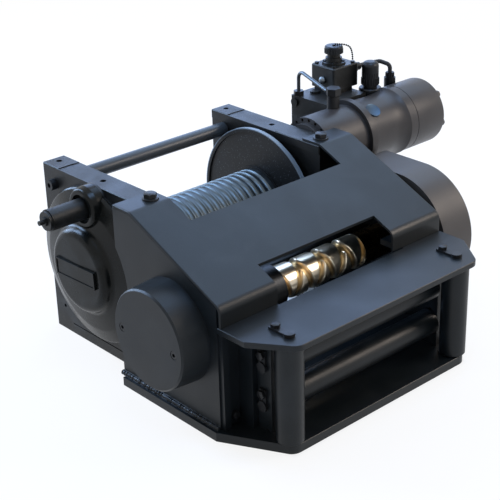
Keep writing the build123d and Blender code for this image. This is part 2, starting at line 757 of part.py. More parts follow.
def cheek(side):
    """One cheek: a plate along the opening and a panel across to the side plate."""
    block(sorted((side * cheek_inner, side * cheek_outer)), (-372, -333), frame_height)
    block(sorted((side * cheek_outer, side * side_inner)), (side_front, -333), frame_height)
    block(sorted((side * strip_x[0], side * strip_x[1])), (side_front - 8, side_front), frame_height)
    with Locations(Location((side * panel_bolt[0], side_front, panel_bolt[1]), (-90, 0, 0))):
        Cylinder(4, 8, align=rest, mode=Mode.SUBTRACT)


with BuildPart() as left_cheek:
    cheek(-1)
save(left_cheek.part, "left_cheek")

with BuildPart() as right_cheek:
    cheek(1)
save(right_cheek.part, "right_cheek")

keeper_rise = 21
with BuildPart() as roller_brackets:
    for side in (-1, 1):
        width = sorted((side * roller_bracket_inner, side * cheek_inner))
        block(width, (horizontal_roller_y - 16, -345), frame_height)
        for height in (upper_roller_z, lower_roller_z):
            bar(width[0], width[1], pin_radius, horizontal_roller_y, height, Mode.SUBTRACT)
            bar(width[0], width[1], 4, horizontal_roller_y, height + keeper_rise, Mode.SUBTRACT)
save(roller_brackets.part, "roller_brackets")

# Four fairlead rollers on fixed pins
roller_gap = 0.6
roller_bore = pin_radius + running_fit
for side, name in ((-1, "left"), (1, "right")):
    with BuildPart() as vertical_roller:
        x = side * vertical_roller_x
        low = base_thickness + roller_gap
        post(x, vertical_roller_y, low, top_plate_low - roller_gap, roller_radius)
        chamfer(vertical_roller.edges().filter_by(GeomType.CIRCLE), 1.5)
        post(x, vertical_roller_y, low, top_plate_low - roller_gap, roller_bore, Mode.SUBTRACT)
    save(vertical_roller.part, f"{name}_vertical_roller")

for height, name in ((upper_roller_z, "upper"), (lower_roller_z, "lower")):
    with BuildPart() as horizontal_roller:
        reach = roller_bracket_inner - roller_gap
        bar(-reach, reach, roller_radius, horizontal_roller_y, height)
        chamfer(horizontal_roller.edges().filter_by(GeomType.CIRCLE), 1.5)
        bar(-reach, reach, roller_bore, horizontal_roller_y, height, Mode.SUBTRACT)
    save(horizontal_roller.part, f"{name}_roller")

keeper_width = 14
keeper_thickness = 4
pin_flat = 5
side_keeper_outer = cheek_inner + keeper_thickness
with BuildPart() as roller_pins:
    for side in (-1, 1):
        x = side * vertical_roller_x
        post(x, vertical_roller_y, 3, top_plate_top + keeper_thickness + 2, pin_radius)
        block(
            (x - pin_radius, x + pin_radius),
            (vertical_roller_y + pin_flat - 0.2, vertical_roller_y + pin_radius),
            (top_plate_top, top_plate_top + keeper_thickness + 0.2),
            Mode.SUBTRACT,
        )
    for height in (upper_roller_z, lower_roller_z):
        reach = side_keeper_outer + 2
        bar(-reach, reach, pin_radius, horizontal_roller_y, height)
        flat = (height + pin_flat - 0.2, height + pin_radius)
        for side in (-1, 1):
            slot = sorted((side * cheek_inner, side * (side_keeper_outer + 0.2)))
            block(slot, (horizontal_roller_y - 10, horizontal_roller_y + 10), flat, Mode.SUBTRACT)
save(roller_pins.part, "roller_pins")

with BuildPart() as keeper_bars:
    for side in (-1, 1):
        x = side * vertical_roller_x
        block(
            (x - keeper_width / 2, x + keeper_width / 2),
            (vertical_roller_y + pin_flat, keeper_y + 8),
            (top_plate_top, top_plate_top + keeper_thickness),
        )
        post(x, keeper_y, top_plate_top, top_plate_top + keeper_thickness, 4.2, Mode.SUBTRACT)
        width = sorted((side * cheek_inner, side * side_keeper_outer))
        for height in (upper_roller_z, lower_roller_z):
            block(
                width,
                (horizontal_roller_y - keeper_width / 2, horizontal_roller_y + keeper_width / 2),
                (height + pin_flat, height + keeper_rise + 8),
            )
            bar(width[0], width[1], 4.2, horizontal_roller_y, height + keeper_rise, Mode.SUBTRACT)
save(keeper_bars.part, "keeper_bars")

keeper_top = top_plate_top + keeper_thickness
with BuildPart() as fairlead_bolts:
    for side in (-1, 1):
        x = side * vertical_roller_x
        post(x, keeper_y, top_plate_low + 1, keeper_top, 3.95)
        hex_post(x, keeper_y, keeper_top, keeper_top + 5.5, 13)
        for height in (upper_roller_z + keeper_rise, lower_roller_z + keeper_rise):
            low, high = sorted((side * (roller_bracket_inner + 1), side * side_keeper_outer))
            bar(low, high, 3.95, horizontal_roller_y, height)
            low, high = sorted((side * side_keeper_outer, side * (side_keeper_outer + 5.5)))
            hex_bar(low, high, 13, horizontal_roller_y, height)
        with Locations(Location((side * panel_bolt[0], side_front, panel_bolt[1]), (-90, 0, 0))):
            Cylinder(3.95, 7, align=rest)
        with Locations(Location((side * panel_bolt[0], side_front, panel_bolt[1]), (90, 0, 0))):
            Cylinder(6.5, 5.5, align=rest)
save(fairlead_bolts.part, "fairlead_bolts")

# Round cover over the left end of the screw
cover_reach = 297
cover_skin = 5
cover_screw_reach = 62
screw_head = 6.5
head_height = 5
head_depth = 5.5
with BuildPart() as left_round_cover:
    with BuildSketch(Plane.XZ.offset(-screw_y)) as can:
        with BuildLine():
            Polyline(
                (-side_outer, screw_z),
                (-side_outer, screw_z + 85.5),
                (-cover_reach + 3, screw_z + 82.2),
                (-cover_reach, screw_z + 79.5),
                (-cover_reach, screw_z),
                close=True,
            )
        make_face()
    screw_axis = Axis((0, screw_y, screw_z), (1, 0, 0))
    revolve(can.sketch, axis=screw_axis)
    bar(-cover_reach + cover_skin, -side_outer, 77, screw_y, screw_z, Mode.SUBTRACT)
    for side in (-1, 1):
        y = screw_y + side * cover_screw_reach
        bar(-cover_reach + cover_skin, -side_outer, 9, y, screw_z)
        bar(-cover_reach, -side_outer, 4.2, y, screw_z, Mode.SUBTRACT)
        bar(-cover_reach, -cover_reach + head_depth, screw_head + 0.6, y, screw_z, Mode.SUBTRACT)
save(left_round_cover.part, "left_round_cover")

case_screw_places = (
    (screw_y - 70, screw_z),
    (screw_y, screw_z - 78),
    (screw_y + 70, screw_z + 40),
    (lay_y + 42, lay_z),
)
with BuildPart() as case_screws:
    for side in (-1, 1):
        y = screw_y + side * cover_screw_reach
        seat = -cover_reach + head_depth
        bar(seat, -side_outer, 3.95, y, screw_z)
        bar(seat - head_height, seat, screw_head, y, screw_z)
        hex_bar(seat - head_height, seat - 1.5, 6, y, screw_z, Mode.SUBTRACT)
    for y, z in case_screw_places:
        bar(case_front, case_front + head_height, screw_head, y, z)
        hex_bar(case_front + 2, case_front + 5, 6, y, z, Mode.SUBTRACT)
save(case_screws.part, "case_screws")

# Long bearing sleeves of the screw, fixed in the side plates, and the bush of the lay shaft
sleeve_radius = 29
sleeve_bore = plain_end_radius + running_fit
with BuildPart() as shaft_sleeves:
    for side in (-1, 1):
        low, high = sorted((side * (screw_half_length + 2), side * side_inner))
        bar(low, high, sleeve_radius, screw_y, screw_z)
        low, high = sorted((side * side_inner, side * side_outer))
        bar(low, high, bearing_seat - 0.05, screw_y, screw_z)
    for side in (-1, 1):
        low, high = sorted((side * (screw_half_length + 2), side * side_outer))
        bar(low, high, sleeve_bore, screw_y, screw_z, Mode.SUBTRACT)
    tube(right_web + 1, bracket_outer + 4, 12.95, lay_shaft_radius + running_fit, lay_y, lay_z)
save(shaft_sleeves.part, "shaft_sleeves")

# Traveller on the screw, with a lug on the guide rod and a fork for the rope
guide_rod_radius = 9
guide_rod_z = screw_z
fork_y = screw_y
fork_roller_radius = 12
rope_gap = 20
fork_top = (screw_z - 45, screw_z - 34)
fork_bottom = (34, 42)
fork_pin_radius = 5
fork_reach = fork_roller_radius + rope_gap / 2
with BuildPart() as guide_rod:
    bar(-side_inner, side_inner, guide_rod_radius, guide_rod_y, guide_rod_z)
save(guide_rod.part, "guide_rod")

with BuildPart() as traveller:
    start = traveller_x - traveller_half
    stop = traveller_x + traveller_half
    bar(start, stop, 38, screw_y, screw_z)
    block((traveller_x - 28, traveller_x + 28), (screw_y, guide_rod_y), (guide_rod_z - 13, guide_rod_z + 13))
    bar(traveller_x - 28, traveller_x + 28, 18, guide_rod_y, guide_rod_z)
    block((traveller_x - 42, traveller_x + 42), (fork_y - 18, fork_y + 18), fork_top)
    block((traveller_x - 42, traveller_x + 42), (fork_y - 18, fork_y + 18), fork_bottom)
    for side in (-1, 1):
        width = sorted((traveller_x + side * 36, traveller_x + side * 42))
        block(width, (fork_y - 18, fork_y + 18), (fork_bottom[0], fork_top[1]))
        pin_x = traveller_x + side * fork_reach
        post(pin_x, fork_y, fork_bottom[0], fork_top[1] - 3, fork_pin_radius)
    bar(start, stop, screw_radius + 0.5, screw_y, screw_z, Mode.SUBTRACT)
    lug = (traveller_x - 28, traveller_x + 28)
    bar(lug[0], lug[1], guide_rod_radius + running_fit, guide_rod_y, guide_rod_z, Mode.SUBTRACT)
    post(traveller_x, screw_y, screw_z + 20, screw_z + 45, 9, Mode.SUBTRACT)
save(traveller.part, "traveller")

for side, name in ((-1, "left"), (1, "right")):
    with BuildPart() as guide_roller:
        x = traveller_x + side * fork_reach
        post(x, fork_y, fork_bottom[1] + 0.5, fork_top[0] - 0.5, fork_roller_radius)
        post(x, fork_y, fork_bottom[1] + 0.5, fork_top[0] - 0.5, fork_pin_radius + running_fit, Mode.SUBTRACT)
    save(guide_roller.part, f"{name}_guide_roller")

# Follower of the screw in its socket, its tip just over the lands of the screw
with BuildPart() as follower_pawl:
    post(traveller_x, screw_y, screw_z + screw_radius + 0.5, screw_z + 42, 8.9)
    hex_post(traveller_x, screw_y, screw_z + 42, screw_z + 48, 17)
save(follower_pawl.part, "follower_pawl")

# Brake housing on the gear cover plate, with a ring of drilled holes in its left face
brake_shoulder = 219.5
brake_end = 318
ring_end = 332
ring_flange = 66
shaft_room = 12.3
with BuildPart() as brake_housing:
    bar(bracket_outer, brake_shoulder, 47.6, motor_y, motor_z)
    bar(brake_shoulder, brake_end, brake_radius, motor_y, motor_z)
    bar(brake_end, ring_end, ring_flange, motor_y, motor_z)
    for hole in range(20):
        angle = math.radians(hole * 18)
        hole_y = motor_y + 53 * math.cos(angle)
        hole_z = motor_z + 53 * math.sin(angle)
        bar(brake_shoulder, brake_shoulder + 6, 3, hole_y, hole_z, Mode.SUBTRACT)
    bar(bracket_outer, 302, shaft_room, motor_y, motor_z, Mode.SUBTRACT)
save(brake_housing.part, "brake_housing")

# Hydraulic motor: slim bell, hollow cove up to a crest, and end cylinder
motor_end = 522
end_radius = 62.5
bell_radius = 57
crest_radius = 64
with BuildPart() as motor_body:
    with BuildSketch(Plane.XZ.offset(-motor_y)) as half_section:
        with BuildLine():
            Polyline((ring_end, motor_z + bell_radius), (394, motor_z + bell_radius))
            ThreePointArc(
                (394, motor_z + bell_radius),
                (413, motor_z + bell_radius + 2),
                (427, motor_z + crest_radius),
            )
            Polyline(
                (427, motor_z + crest_radius),
                (429, motor_z + end_radius),
                (446.4, motor_z + end_radius),
                (446.4, motor_z + end_radius - 0.8),
                (447.4, motor_z + end_radius - 0.8),
                (447.4, motor_z + end_radius),
                (motor_end - 4, motor_z + end_radius),
                (motor_end, motor_z + end_radius - 4),
                (motor_end, motor_z),
                (ring_end, motor_z),
                (ring_end, motor_z + bell_radius),
            )
        make_face()
    motor_axis = Axis((0, motor_y, motor_z), (1, 0, 0))
    revolve(half_section.sketch, axis=motor_axis)
    for turn in range(6):
        angle = math.radians(15 + turn * 60)
        bolt_y = motor_y + 53.5 * math.cos(angle)
        hex_bar(motor_end, motor_end + 6, 13, bolt_y, motor_z + 53.5 * math.sin(angle))
    port = Plane(origin=(352, motor_y - 0.57 * 50, motor_z + 0.82 * 50), z_dir=(0, -0.57, 0.82))
    with Locations(port):
        Cylinder(12.5, 12, align=rest)
save(motor_body.part, "motor_body")

# Valve block over the brake, its nut and plugs
valve_x = (294, 398)
valve_y = (-35, 58)
valve_top = 327
line_start = (303, 48)
with BuildPart() as manifold_block:
    block(valve_x, valve_y, (262, valve_top))
    bar(valve_x[0], brake_end, brake_radius + seat_gap, motor_y, motor_z, Mode.SUBTRACT)
    bar(brake_end - seat_gap, ring_end + seat_gap, ring_flange + seat_gap, motor_y, motor_z, Mode.SUBTRACT)
    add(motor_body.part, mode=Mode.SUBTRACT)
    post(332, 34, valve_top, valve_top + 4, 9.5)
    bar(valve_x[0] - 3, valve_x[0], 8, 49, 314)
save(manifold_block.part, "manifold_block")

# Steel line from the valve block to the fitting on the brake housing
fitting = (292, -53)
line_radius = 3.4
nut_top = valve_top + 8
line_end = (289, -39.4, 357)
with BuildPart() as line_fittings:
    hex_post(line_start[0], line_start[1], valve_top, nut_top, 17)
    post(line_start[0], line_start[1], nut_top - 4, nut_top, line_radius, Mode.SUBTRACT)
    post(fitting[0], fitting[1], motor_z + 45, 350, 11.5)
    post(fitting[0], fitting[1], 350, 352, 10)
    hex_post(fitting[0], fitting[1], 352, 365, 24)
    bar(fitting[0] - 20, fitting[0] + 20, brake_radius + 0.05, motor_y, motor_z, Mode.SUBTRACT)
save(line_fittings.part, "line_fittings")

with BuildPart() as brake_line:
    top_bend = (line_start[0], line_start[1], 375)
    route = [(line_start[0], line_start[1], nut_top - 4), top_bend, line_end]
    rise = top_bend[2] - nut_top
    turn = 105
    bend_radius = 0.45 * rise / math.tan(math.radians(turn / 2))
    with BuildLine() as line_path:
        FilletPolyline(*route, radius=bend_radius)
    with BuildSketch(Plane.XY.offset(nut_top - 4)):
        with Locations(line_start):
            Circle(line_radius - 0.05)
    sweep(path=line_path.wires()[0])
save(brake_line.part, "brake_line")

# Control box on its pedestal, with a capped socket on top
box_x = (341, 407)
box_y = (-7, 54)
box_bottom = 335
box_top = 378
cap_place = (371.5, 23.5)
socket_flange = (4, 22)
cap_low = 398
gland_y = 6
gland_z = 365
gland_end = 421
gland_radius = 7.5
with BuildPart() as control_box:
    block(box_x, box_y, (box_bottom, box_top))
    fillet(control_box.edges().filter_by(Axis.Z), 5)
    chamfer(control_box.faces().sort_by(Axis.Z)[-1].edges(), 2)
    block((box_x[0] + 6, valve_x[1] - 4), (box_y[0] + 4, box_y[1] - 4), (valve_top, box_bottom))
    for x in (box_x[0] + 8, box_x[1] - 8):
        for y in (box_y[0] + 8, box_y[1] - 8):
            post(x, y, box_top, box_top + 3, 4)
    bar(box_x[0] - 4, box_x[0], 6, 21.7, 352.2)
    post(cap_place[0], cap_place[1], box_top, box_top + socket_flange[0], socket_flange[1])
    with Locations((cap_place[0], cap_place[1], box_top + socket_flange[0])):
        with PolarLocations(socket_flange[1] - 4, 4, start_angle=45):
            Cylinder(2.6, 2, align=rest)
    post(cap_place[0], cap_place[1], box_top + socket_flange[0], box_top + 12, 15.5)
    post(cap_place[0], cap_place[1], box_top + 12, cap_low, 12)
    hex_bar(box_x[1], box_x[1] + 5, 17, gland_y, gland_z)
    bar(box_x[1] + 5, gland_end, gland_radius, gland_y, gland_z)
save(control_box.part, "control_box")

cap_top = 412
cap_radius = 17
with BuildPart() as dust_cap:
    post(cap_place[0], cap_place[1], cap_low, cap_top, cap_radius)
    fillet(dust_cap.faces().sort_by(Axis.Z)[-1].edges(), 3)
    with Locations((cap_place[0], cap_place[1], cap_low)):
        with PolarLocations(cap_radius - 0.4, 24):
            Cylinder(1.2, 9, align=rest)
    post(cap_place[0], cap_place[1], cap_top, cap_top + 2, 3)
save(dust_cap.part, "dust_cap")

# Chain from the cap to a corner screw of the box, as a plain cord of the chain's thickness
chain_corner = (box_x[1] - 8, box_y[0] + 8)
chain_points = (
    (cap_place[0] + 3.4, cap_place[1] - 0.5, cap_top + 1.6),
    (386, 3, cap_top + 4),
    (chain_corner[0] + 1, chain_corner[1] + 1, box_top + 22),
    (chain_corner[0], chain_corner[1], box_top + 3),
)
with BuildPart() as cap_chain:
    with BuildLine() as chain_path:
        FilletPolyline(*chain_points, radius=6)
    chain_wire = chain_path.wires()[0]
    with BuildSketch(Plane(origin=chain_wire @ 0, z_dir=chain_wire % 0)):
        Circle(1.3)
    sweep(path=chain_wire)
    print("chain length", round(chain_wire.length, 1))
save(cap_chain.part, "cap_chain")

# Domed cap with a ribbed grip ring on a flange, over the motor joint
round_cap_place = (420, -25)
dome_cap_radius = 16
with BuildPart() as round_cap:
    x, y = round_cap_place
    post(x, y, 296, 331, 21.4)
    fillet(round_cap.faces().sort_by(Axis.Z)[-1].edges(), 3)
    post(x, y, 331, 381, 13)
    post(x, y, 336, 381, dome_cap_radius)
    fillet(round_cap.faces().sort_by(Axis.Z)[-1].edges(), 9)
    with Locations((x, y, 337)):
        with PolarLocations(dome_cap_radius, 20):
            Cylinder(1.5, 12, align=rest)
    with Locations((x, y, 351)):
        with PolarLocations(dome_cap_radius + 0.5, 20):
            Cylinder(1.3, 9, align=rest, mode=Mode.SUBTRACT)
    add(motor_body.part, mode=Mode.SUBTRACT)
save(round_cap.part, "round_cap")

# Plug on the motor and the short cable from the box to it
plug_place = (474, -26)
plug_top = 348
with BuildPart() as connector:
    x, y = plug_place
    post(x, y, 300, 338, 11)
    post(x, y, 338, 340, 8.4)
    with Locations((x, y, 340)):
        with PolarLocations(7.6, 12):
            Cylinder(1.2, 7, align=rest)
    post(x, y, 338, plug_top, 7.6)
    bar(x - 14, x + 14, end_radius + 0.05, motor_y, motor_z, Mode.SUBTRACT)
save(connector.part, "connector")

cable_radius = 4
with BuildPart() as cable:
    with BuildLine() as cable_path:
        FilletPolyline(
            (gland_end, gland_y, gland_z),
            (444, gland_y, gland_z),
            (466, -7, 367),
            (plug_place[0], plug_place[1], 362),
            (plug_place[0], plug_place[1], plug_top),
            radius=9,
        )
    cable_wire = cable_path.wires()[0]
    with BuildSketch(Plane(origin=cable_wire @ 0, z_dir=cable_wire % 0)):
        Circle(cable_radius)
    sweep(path=cable_wire)
save(cable.part, "cable")
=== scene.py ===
# %% [markdown]
# # A hydraulic winch, dressed around its CAD frame
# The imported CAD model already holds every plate, casting, gear and roller in its true place. This script
# loads that model, gives each piece the finish of the real one, and adds the small shapes that CAD leaves
# plain, such as rippled weld beads and chamfered bolt heads. Lengths are in metres, +Z is up and the rope
# leaves towards -Y.

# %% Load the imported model
import math
import random

import bmesh
import bpy
from mathutils import Matrix, Vector


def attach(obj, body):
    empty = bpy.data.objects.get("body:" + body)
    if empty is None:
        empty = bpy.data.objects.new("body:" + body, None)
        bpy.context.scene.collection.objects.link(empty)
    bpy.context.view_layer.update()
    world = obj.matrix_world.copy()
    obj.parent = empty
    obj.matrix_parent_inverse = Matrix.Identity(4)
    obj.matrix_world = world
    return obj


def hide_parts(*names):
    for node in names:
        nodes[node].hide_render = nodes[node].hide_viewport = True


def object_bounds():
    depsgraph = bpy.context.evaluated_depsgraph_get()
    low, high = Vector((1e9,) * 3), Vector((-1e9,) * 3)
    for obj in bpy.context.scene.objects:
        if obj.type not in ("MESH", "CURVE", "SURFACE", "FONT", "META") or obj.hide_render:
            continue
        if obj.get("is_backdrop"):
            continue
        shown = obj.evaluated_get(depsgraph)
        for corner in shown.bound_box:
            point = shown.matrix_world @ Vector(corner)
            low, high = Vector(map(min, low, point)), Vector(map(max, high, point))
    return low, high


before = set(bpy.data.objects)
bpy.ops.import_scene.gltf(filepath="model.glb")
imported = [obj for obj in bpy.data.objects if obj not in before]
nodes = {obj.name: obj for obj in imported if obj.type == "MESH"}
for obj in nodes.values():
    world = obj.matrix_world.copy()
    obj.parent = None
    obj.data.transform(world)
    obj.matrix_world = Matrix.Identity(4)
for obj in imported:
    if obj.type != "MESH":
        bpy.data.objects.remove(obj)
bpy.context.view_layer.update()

# %% [markdown]
# Colours are easiest to choose as the hex values of a paint chart, but shaders work in linear light. One
# function turns one into the other, so every colour below is written the way it looks on screen.


# %% Colours from hex values
def linear(hex_code):
    """Turns an sRGB hex colour such as #808080 into linear red, green, blue and alpha."""
    channels = []
    for start in (1, 3, 5):
        value = int(hex_code[start:start + 2], 16) / 255
        channels.append(value / 12.92 if value <= 0.04045 else ((value + 0.055) / 1.055) ** 2.4)
    return (*channels, 1.0)


print("mid grey is", [round(channel, 3) for channel in linear("#808080")])


# %% [markdown]
# A material is a small graph of nodes. Adding one node always takes the same three steps: make it, fill in
# its settings, and wire other nodes into it. The first function does the three at once, for every kind of
# node. The second one starts a material with an empty graph.


# %% One helper for every shader node
def add_node(material, kind, settings=None, links=None):
    """Adds a node; settings fill its properties or input values, links wire output sockets to its inputs."""
    tree = material.node_tree
    made = tree.nodes.new(kind)
    for name, value in (settings or {}).items():
        if isinstance(name, int) or name in made.inputs:
            made.inputs[name].default_value = value
        else:
            setattr(made, name, value)
    for name, socket in (links or {}).items():
        tree.links.new(socket, made.inputs[name])
    return made


def empty_material(name):
    """A node material whose graph is still empty."""
    material = bpy.data.materials.new(name)
    material.use_nodes = True
    material.node_tree.nodes.clear()
    return material


print("materials so far:", len(bpy.data.materials))

# %% [markdown]
# ## Black paint
# Nearly the whole winch is sprayed satin black. Sprayed enamel isn't flat: it dries with a faint skin like
# orange peel, one or two millimetres from crest to crest, and its gloss drifts a little from place to
# place. Castings wear the same paint, but the sand mould's grain shows through, so their bump is stronger.
# A thin film of workshop dust lies on it in smears, most of it on the castings.


# %% A paint recipe with its own peel, drift and depth
def painted(name, dark, light, gloss, peel_mm, peel_depth, drift_mm=90, dust=0.0, shine=0.3):
    """Satin enamel: two near blacks, a roughness range, an orange peel of a given size, dust and a shine."""
    material = empty_material(name)
    place = add_node(material, "ShaderNodeTexCoord").outputs["Object"]
    drift = add_node(material, "ShaderNodeTexNoise",
                     {"Scale": 1000 / drift_mm, "Detail": 4.0, "Roughness": 0.55}, {"Vector": place})
    colour = add_node(material, "ShaderNodeMix", {"data_type": "RGBA", 6: linear(dark), 7: linear(light)},
                      {0: drift.outputs["Fac"]})
    rough = add_node(material, "ShaderNodeMapRange", {"From Min": 0.3, "From Max": 0.7, "To Min": gloss[0],
                                                     "To Max": gloss[1]}, {"Value": drift.outputs["Fac"]})
    tint = colour.outputs[2]
    if dust:
        # Smears about 60 mm long, broken up by grains of 2 mm
        smear = add_node(material, "ShaderNodeTexNoise", {"Scale": 16.0, "Detail": 5.0, "Distortion": 0.6},
                         {"Vector": place})
        grain = add_node(material, "ShaderNodeTexNoise", {"Scale": 500.0, "Detail": 2.0}, {"Vector": place})
        both = add_node(material, "ShaderNodeMath", {"operation": "MULTIPLY_ADD", 1: 0.3},
                        {0: grain.outputs["Fac"], 2: smear.outputs["Fac"]})
        cover = add_node(material, "ShaderNodeMapRange", {"From Min": 0.66, "From Max": 0.86, "To Max": dust},
                         {"Value": both.outputs[0]})
        tint = add_node(material, "ShaderNodeMix", {"data_type": "RGBA", 7: linear("#6f7477")},
                        {0: cover.outputs[0], 6: tint}).outputs[2]
    peel = add_node(material, "ShaderNodeTexNoise",
                    {"Scale": 1000 / peel_mm, "Detail": 3.0, "Roughness": 0.5}, {"Vector": place})
    skin = add_node(material, "ShaderNodeBump", {"Strength": peel_depth, "Distance": 0.0004},
                    {"Height": peel.outputs["Fac"]})
    paint = add_node(material, "ShaderNodeBsdfPrincipled", {"IOR": 1.46, "Specular IOR Level": shine},
                     {"Base Color": tint, "Roughness": rough.outputs[0], "Normal": skin.outputs[0]})
    add_node(material, "ShaderNodeOutputMaterial", links={"Surface": paint.outputs[0]})
    return material


plate_paint = painted("satin_black_enamel_on_plate", "#0b0f12", "#13191d", (0.34, 0.44), 1.6, 0.25,
                      dust=0.025)
casting_paint = painted("satin_black_enamel_on_casting", "#0c0d0d", "#161717", (0.34, 0.48), 1.1, 0.6,
                        60, 0.12)
motor_paint = painted("grey_black_enamel_on_motor", "#2c2a2a", "#3f3c3b", (0.32, 0.44), 1.3, 0.4, 45)
case_paint = painted("warm_black_enamel_on_chain_case", "#3b3734", "#4c4845", (0.34, 0.46), 1.6, 0.3)
# The tube's black paint is set lighter grey, a painted sheen standing in for the highlight along its top.
rod_paint_lightened_for_sheen = painted("satin_black_enamel_lightened_for_sheen_on_tube", "#34383b", "#42464a", (0.28, 0.38), 1.6, 0.15)
dome_paint = painted("glossy_black_enamel_on_gear_cover", "#0a0b09", "#141513", (0.2, 0.3), 2.4, 0.2,
                     45, 0.05, shine=0.17)
weld_paint = painted("gloss_black_enamel_on_weld", "#0d1013", "#171b1f", (0.3, 0.42), 1.4, 0.2, 20)
fastener_finish = painted("black_oxide_on_screws", "#101113", "#1f2022", (0.3, 0.46), 0.8, 0.35, 12)
print("paints:", plate_paint.name, casting_paint.name, motor_paint.name, fastener_finish.name)

# %% [markdown]
# ## Bare metals
# Metals colour their own reflections, so the base colour is the tint of the highlight. Turned parts carry
# fine rings around their axis, which a wave pattern along X draws.


# %% A recipe for bare metal
def metal(name, tint, shade, gloss, ring_mm=0.0, ring_depth=0.0):
    """Bare metal with a drifting tint, and optional turning rings along X."""
    material = empty_material(name)
    place = add_node(material, "ShaderNodeTexCoord").outputs["Object"]
    drift = add_node(material, "ShaderNodeTexNoise", {"Scale": 60.0, "Detail": 5.0, "Roughness": 0.6},
                     {"Vector": place})
    colour = add_node(material, "ShaderNodeMix", {"data_type": "RGBA", 6: linear(shade), 7: linear(tint)},
                      {0: drift.outputs["Fac"]})
    rough = add_node(material, "ShaderNodeMapRange", {"From Min": 0.3, "From Max": 0.7, "To Min": gloss[0],
                                                     "To Max": gloss[1]}, {"Value": drift.outputs["Fac"]})
    body = add_node(material, "ShaderNodeBsdfPrincipled", {"Metallic": 1.0},
                    {"Base Color": colour.outputs[2], "Roughness": rough.outputs[0]})
    if ring_mm:
        # The wave repeats every 2 pi / (20 * Scale) metres, so the rings lie 2 pi * ring_mm apart
        rings = add_node(material, "ShaderNodeTexWave",
                         {"Scale": 1000 / (ring_mm * 20), "Distortion": 0.4, "Detail": 2.0,
                          "bands_direction": "X"}, {"Vector": place})
        turned = add_node(material, "ShaderNodeBump", {"Strength": ring_depth, "Distance": 0.0002},
                          {"Height": rings.outputs["Fac"]})
        material.node_tree.links.new(turned.outputs[0], body.inputs["Normal"])
    add_node(material, "ShaderNodeOutputMaterial", links={"Surface": body.outputs[0]})
    return material


turned_steel = metal("turned_mild_steel", "#c9c7c2", "#a5a39d", (0.25, 0.42), 0.8, 0.3)
gear_steel = metal("milled_gear_steel", "#9c9a94", "#7c7a75", (0.3, 0.5))
line_steel = metal("satin_steel_tube", "#62686e", "#3f454b", (0.32, 0.44))
dark_bronze = metal("oiled_bronze_sleeve", "#7a6038", "#2e261b", (0.18, 0.34), 1.2, 0.3)
blued_steel = metal("black_oxide_on_turned_steel", "#35373a", "#222426", (0.3, 0.45), 0.9, 0.3)
# The zinc is tinted blue, a painted reflection of the sky above the port plug.
zinc_tinted_for_sky_reflection = metal("zinc_with_painted_blue_sky_reflection", "#46586a", "#2f3d4b", (0.34, 0.46))
plug_aluminium = metal("dull_pressed_aluminium", "#7d848a", "#5f666c", (0.4, 0.52))
bead_steel = metal("black_oxide_on_ball_chain", "#2b2c2e", "#17181a", (0.25, 0.38))
drum_steel = metal("oiled_steel_rope_drum", "#5b6368", "#3a4246", (0.34, 0.46))
print("metals:", turned_steel.name, gear_steel.name, line_steel.name, drum_steel.name)

# %% [markdown]
# The drum is one casting with two finishes: the grooved barrel is worn down to oiled steel by the rope,
# while the flanges keep their black paint with pale dust specks in it. Where along the shaft a point lies
# decides which one it gets, so the metallic value, the colour and the roughness all switch at the inner
# face of the flanges. The outermost two millimetres of a flange are painted paler, a painted highlight
# along the rim.

# %% Painted flanges on the drum
flange_face = 0.1475
axis_height = 0.166
rim_highlight_radii = (0.1395, 0.1412)


def paint_flanges(material):
    """Turns everything beyond the flange faces from bare steel to speckled black paint."""
    tree = material.node_tree
    body = next(node for node in tree.nodes if node.type == "BSDF_PRINCIPLED")
    body.inputs["Specular IOR Level"].default_value = 0.25
    place = next(node for node in tree.nodes if node.type == "TEX_COORD").outputs["Object"]
    along = add_node(material, "ShaderNodeSeparateXYZ", links={0: place})
    reach = add_node(material, "ShaderNodeMath", {"operation": "ABSOLUTE"}, {0: along.outputs["X"]})
    beyond = add_node(material, "ShaderNodeMath", {"operation": "GREATER_THAN", 1: flange_face},
                      {0: reach.outputs[0]})
    dust = add_node(material, "ShaderNodeTexNoise", {"Scale": 420.0, "Detail": 3.0}, {"Vector": place})
    specks = add_node(material, "ShaderNodeMapRange", {"From Min": 0.64, "From Max": 0.7},
                      {"Value": dust.outputs["Fac"]})
    black = add_node(material, "ShaderNodeMix",
                     {"data_type": "RGBA", 6: linear("#0d0e0f"), 7: linear("#4d5054")},
                     {0: specks.outputs[0]})
    centred = add_node(material, "ShaderNodeMapping", {"Location": (0, 0, -axis_height), "Scale": (0, 1, 1)},
                       {"Vector": place})
    radius = add_node(material, "ShaderNodeVectorMath", {"operation": "LENGTH"}, {0: centred.outputs[0]})
    # Painted highlight: a thin band at the flange rim is painted paler, standing in for the light its edge
    # catches.
    painted_rim_highlight = add_node(material, "ShaderNodeMapRange",
                      {"From Min": rim_highlight_radii[0], "From Max": rim_highlight_radii[1], "To Max": 0.6},
                      {"Value": radius.outputs["Value"]})
    black = add_node(material, "ShaderNodeMix", {"data_type": "RGBA", 7: linear("#8f9aa3")},
                     {0: painted_rim_highlight.outputs[0], 6: black.outputs[2]})
    steel = body.inputs["Base Color"].links[0].from_socket
    sheen = body.inputs["Roughness"].links[0].from_socket
    colour = add_node(material, "ShaderNodeMix", {"data_type": "RGBA"},
                      {0: beyond.outputs[0], 6: steel, 7: black.outputs[2]})
    rough = add_node(material, "ShaderNodeMix", {3: 0.45}, {0: beyond.outputs[0], 2: sheen})
    bare = add_node(material, "ShaderNodeMath", {"operation": "SUBTRACT", 0: 1.0}, {1: beyond.outputs[0]})
    for socket, source in (("Base Color", colour.outputs[2]), ("Roughness", rough.outputs[0]),
                           ("Metallic", bare.outputs[0])):
        tree.links.new(source, body.inputs[socket])


paint_flanges(drum_steel)
print("drum finish has", len(drum_steel.node_tree.nodes), "nodes")

# %% [markdown]
# ## Rubber and anodised caps
# The short cable is rubber, which is never as black as paint and has no shine. The caps and the plug are
# black anodised aluminium: a hard grey film over metal, so they keep a dull metallic glint.


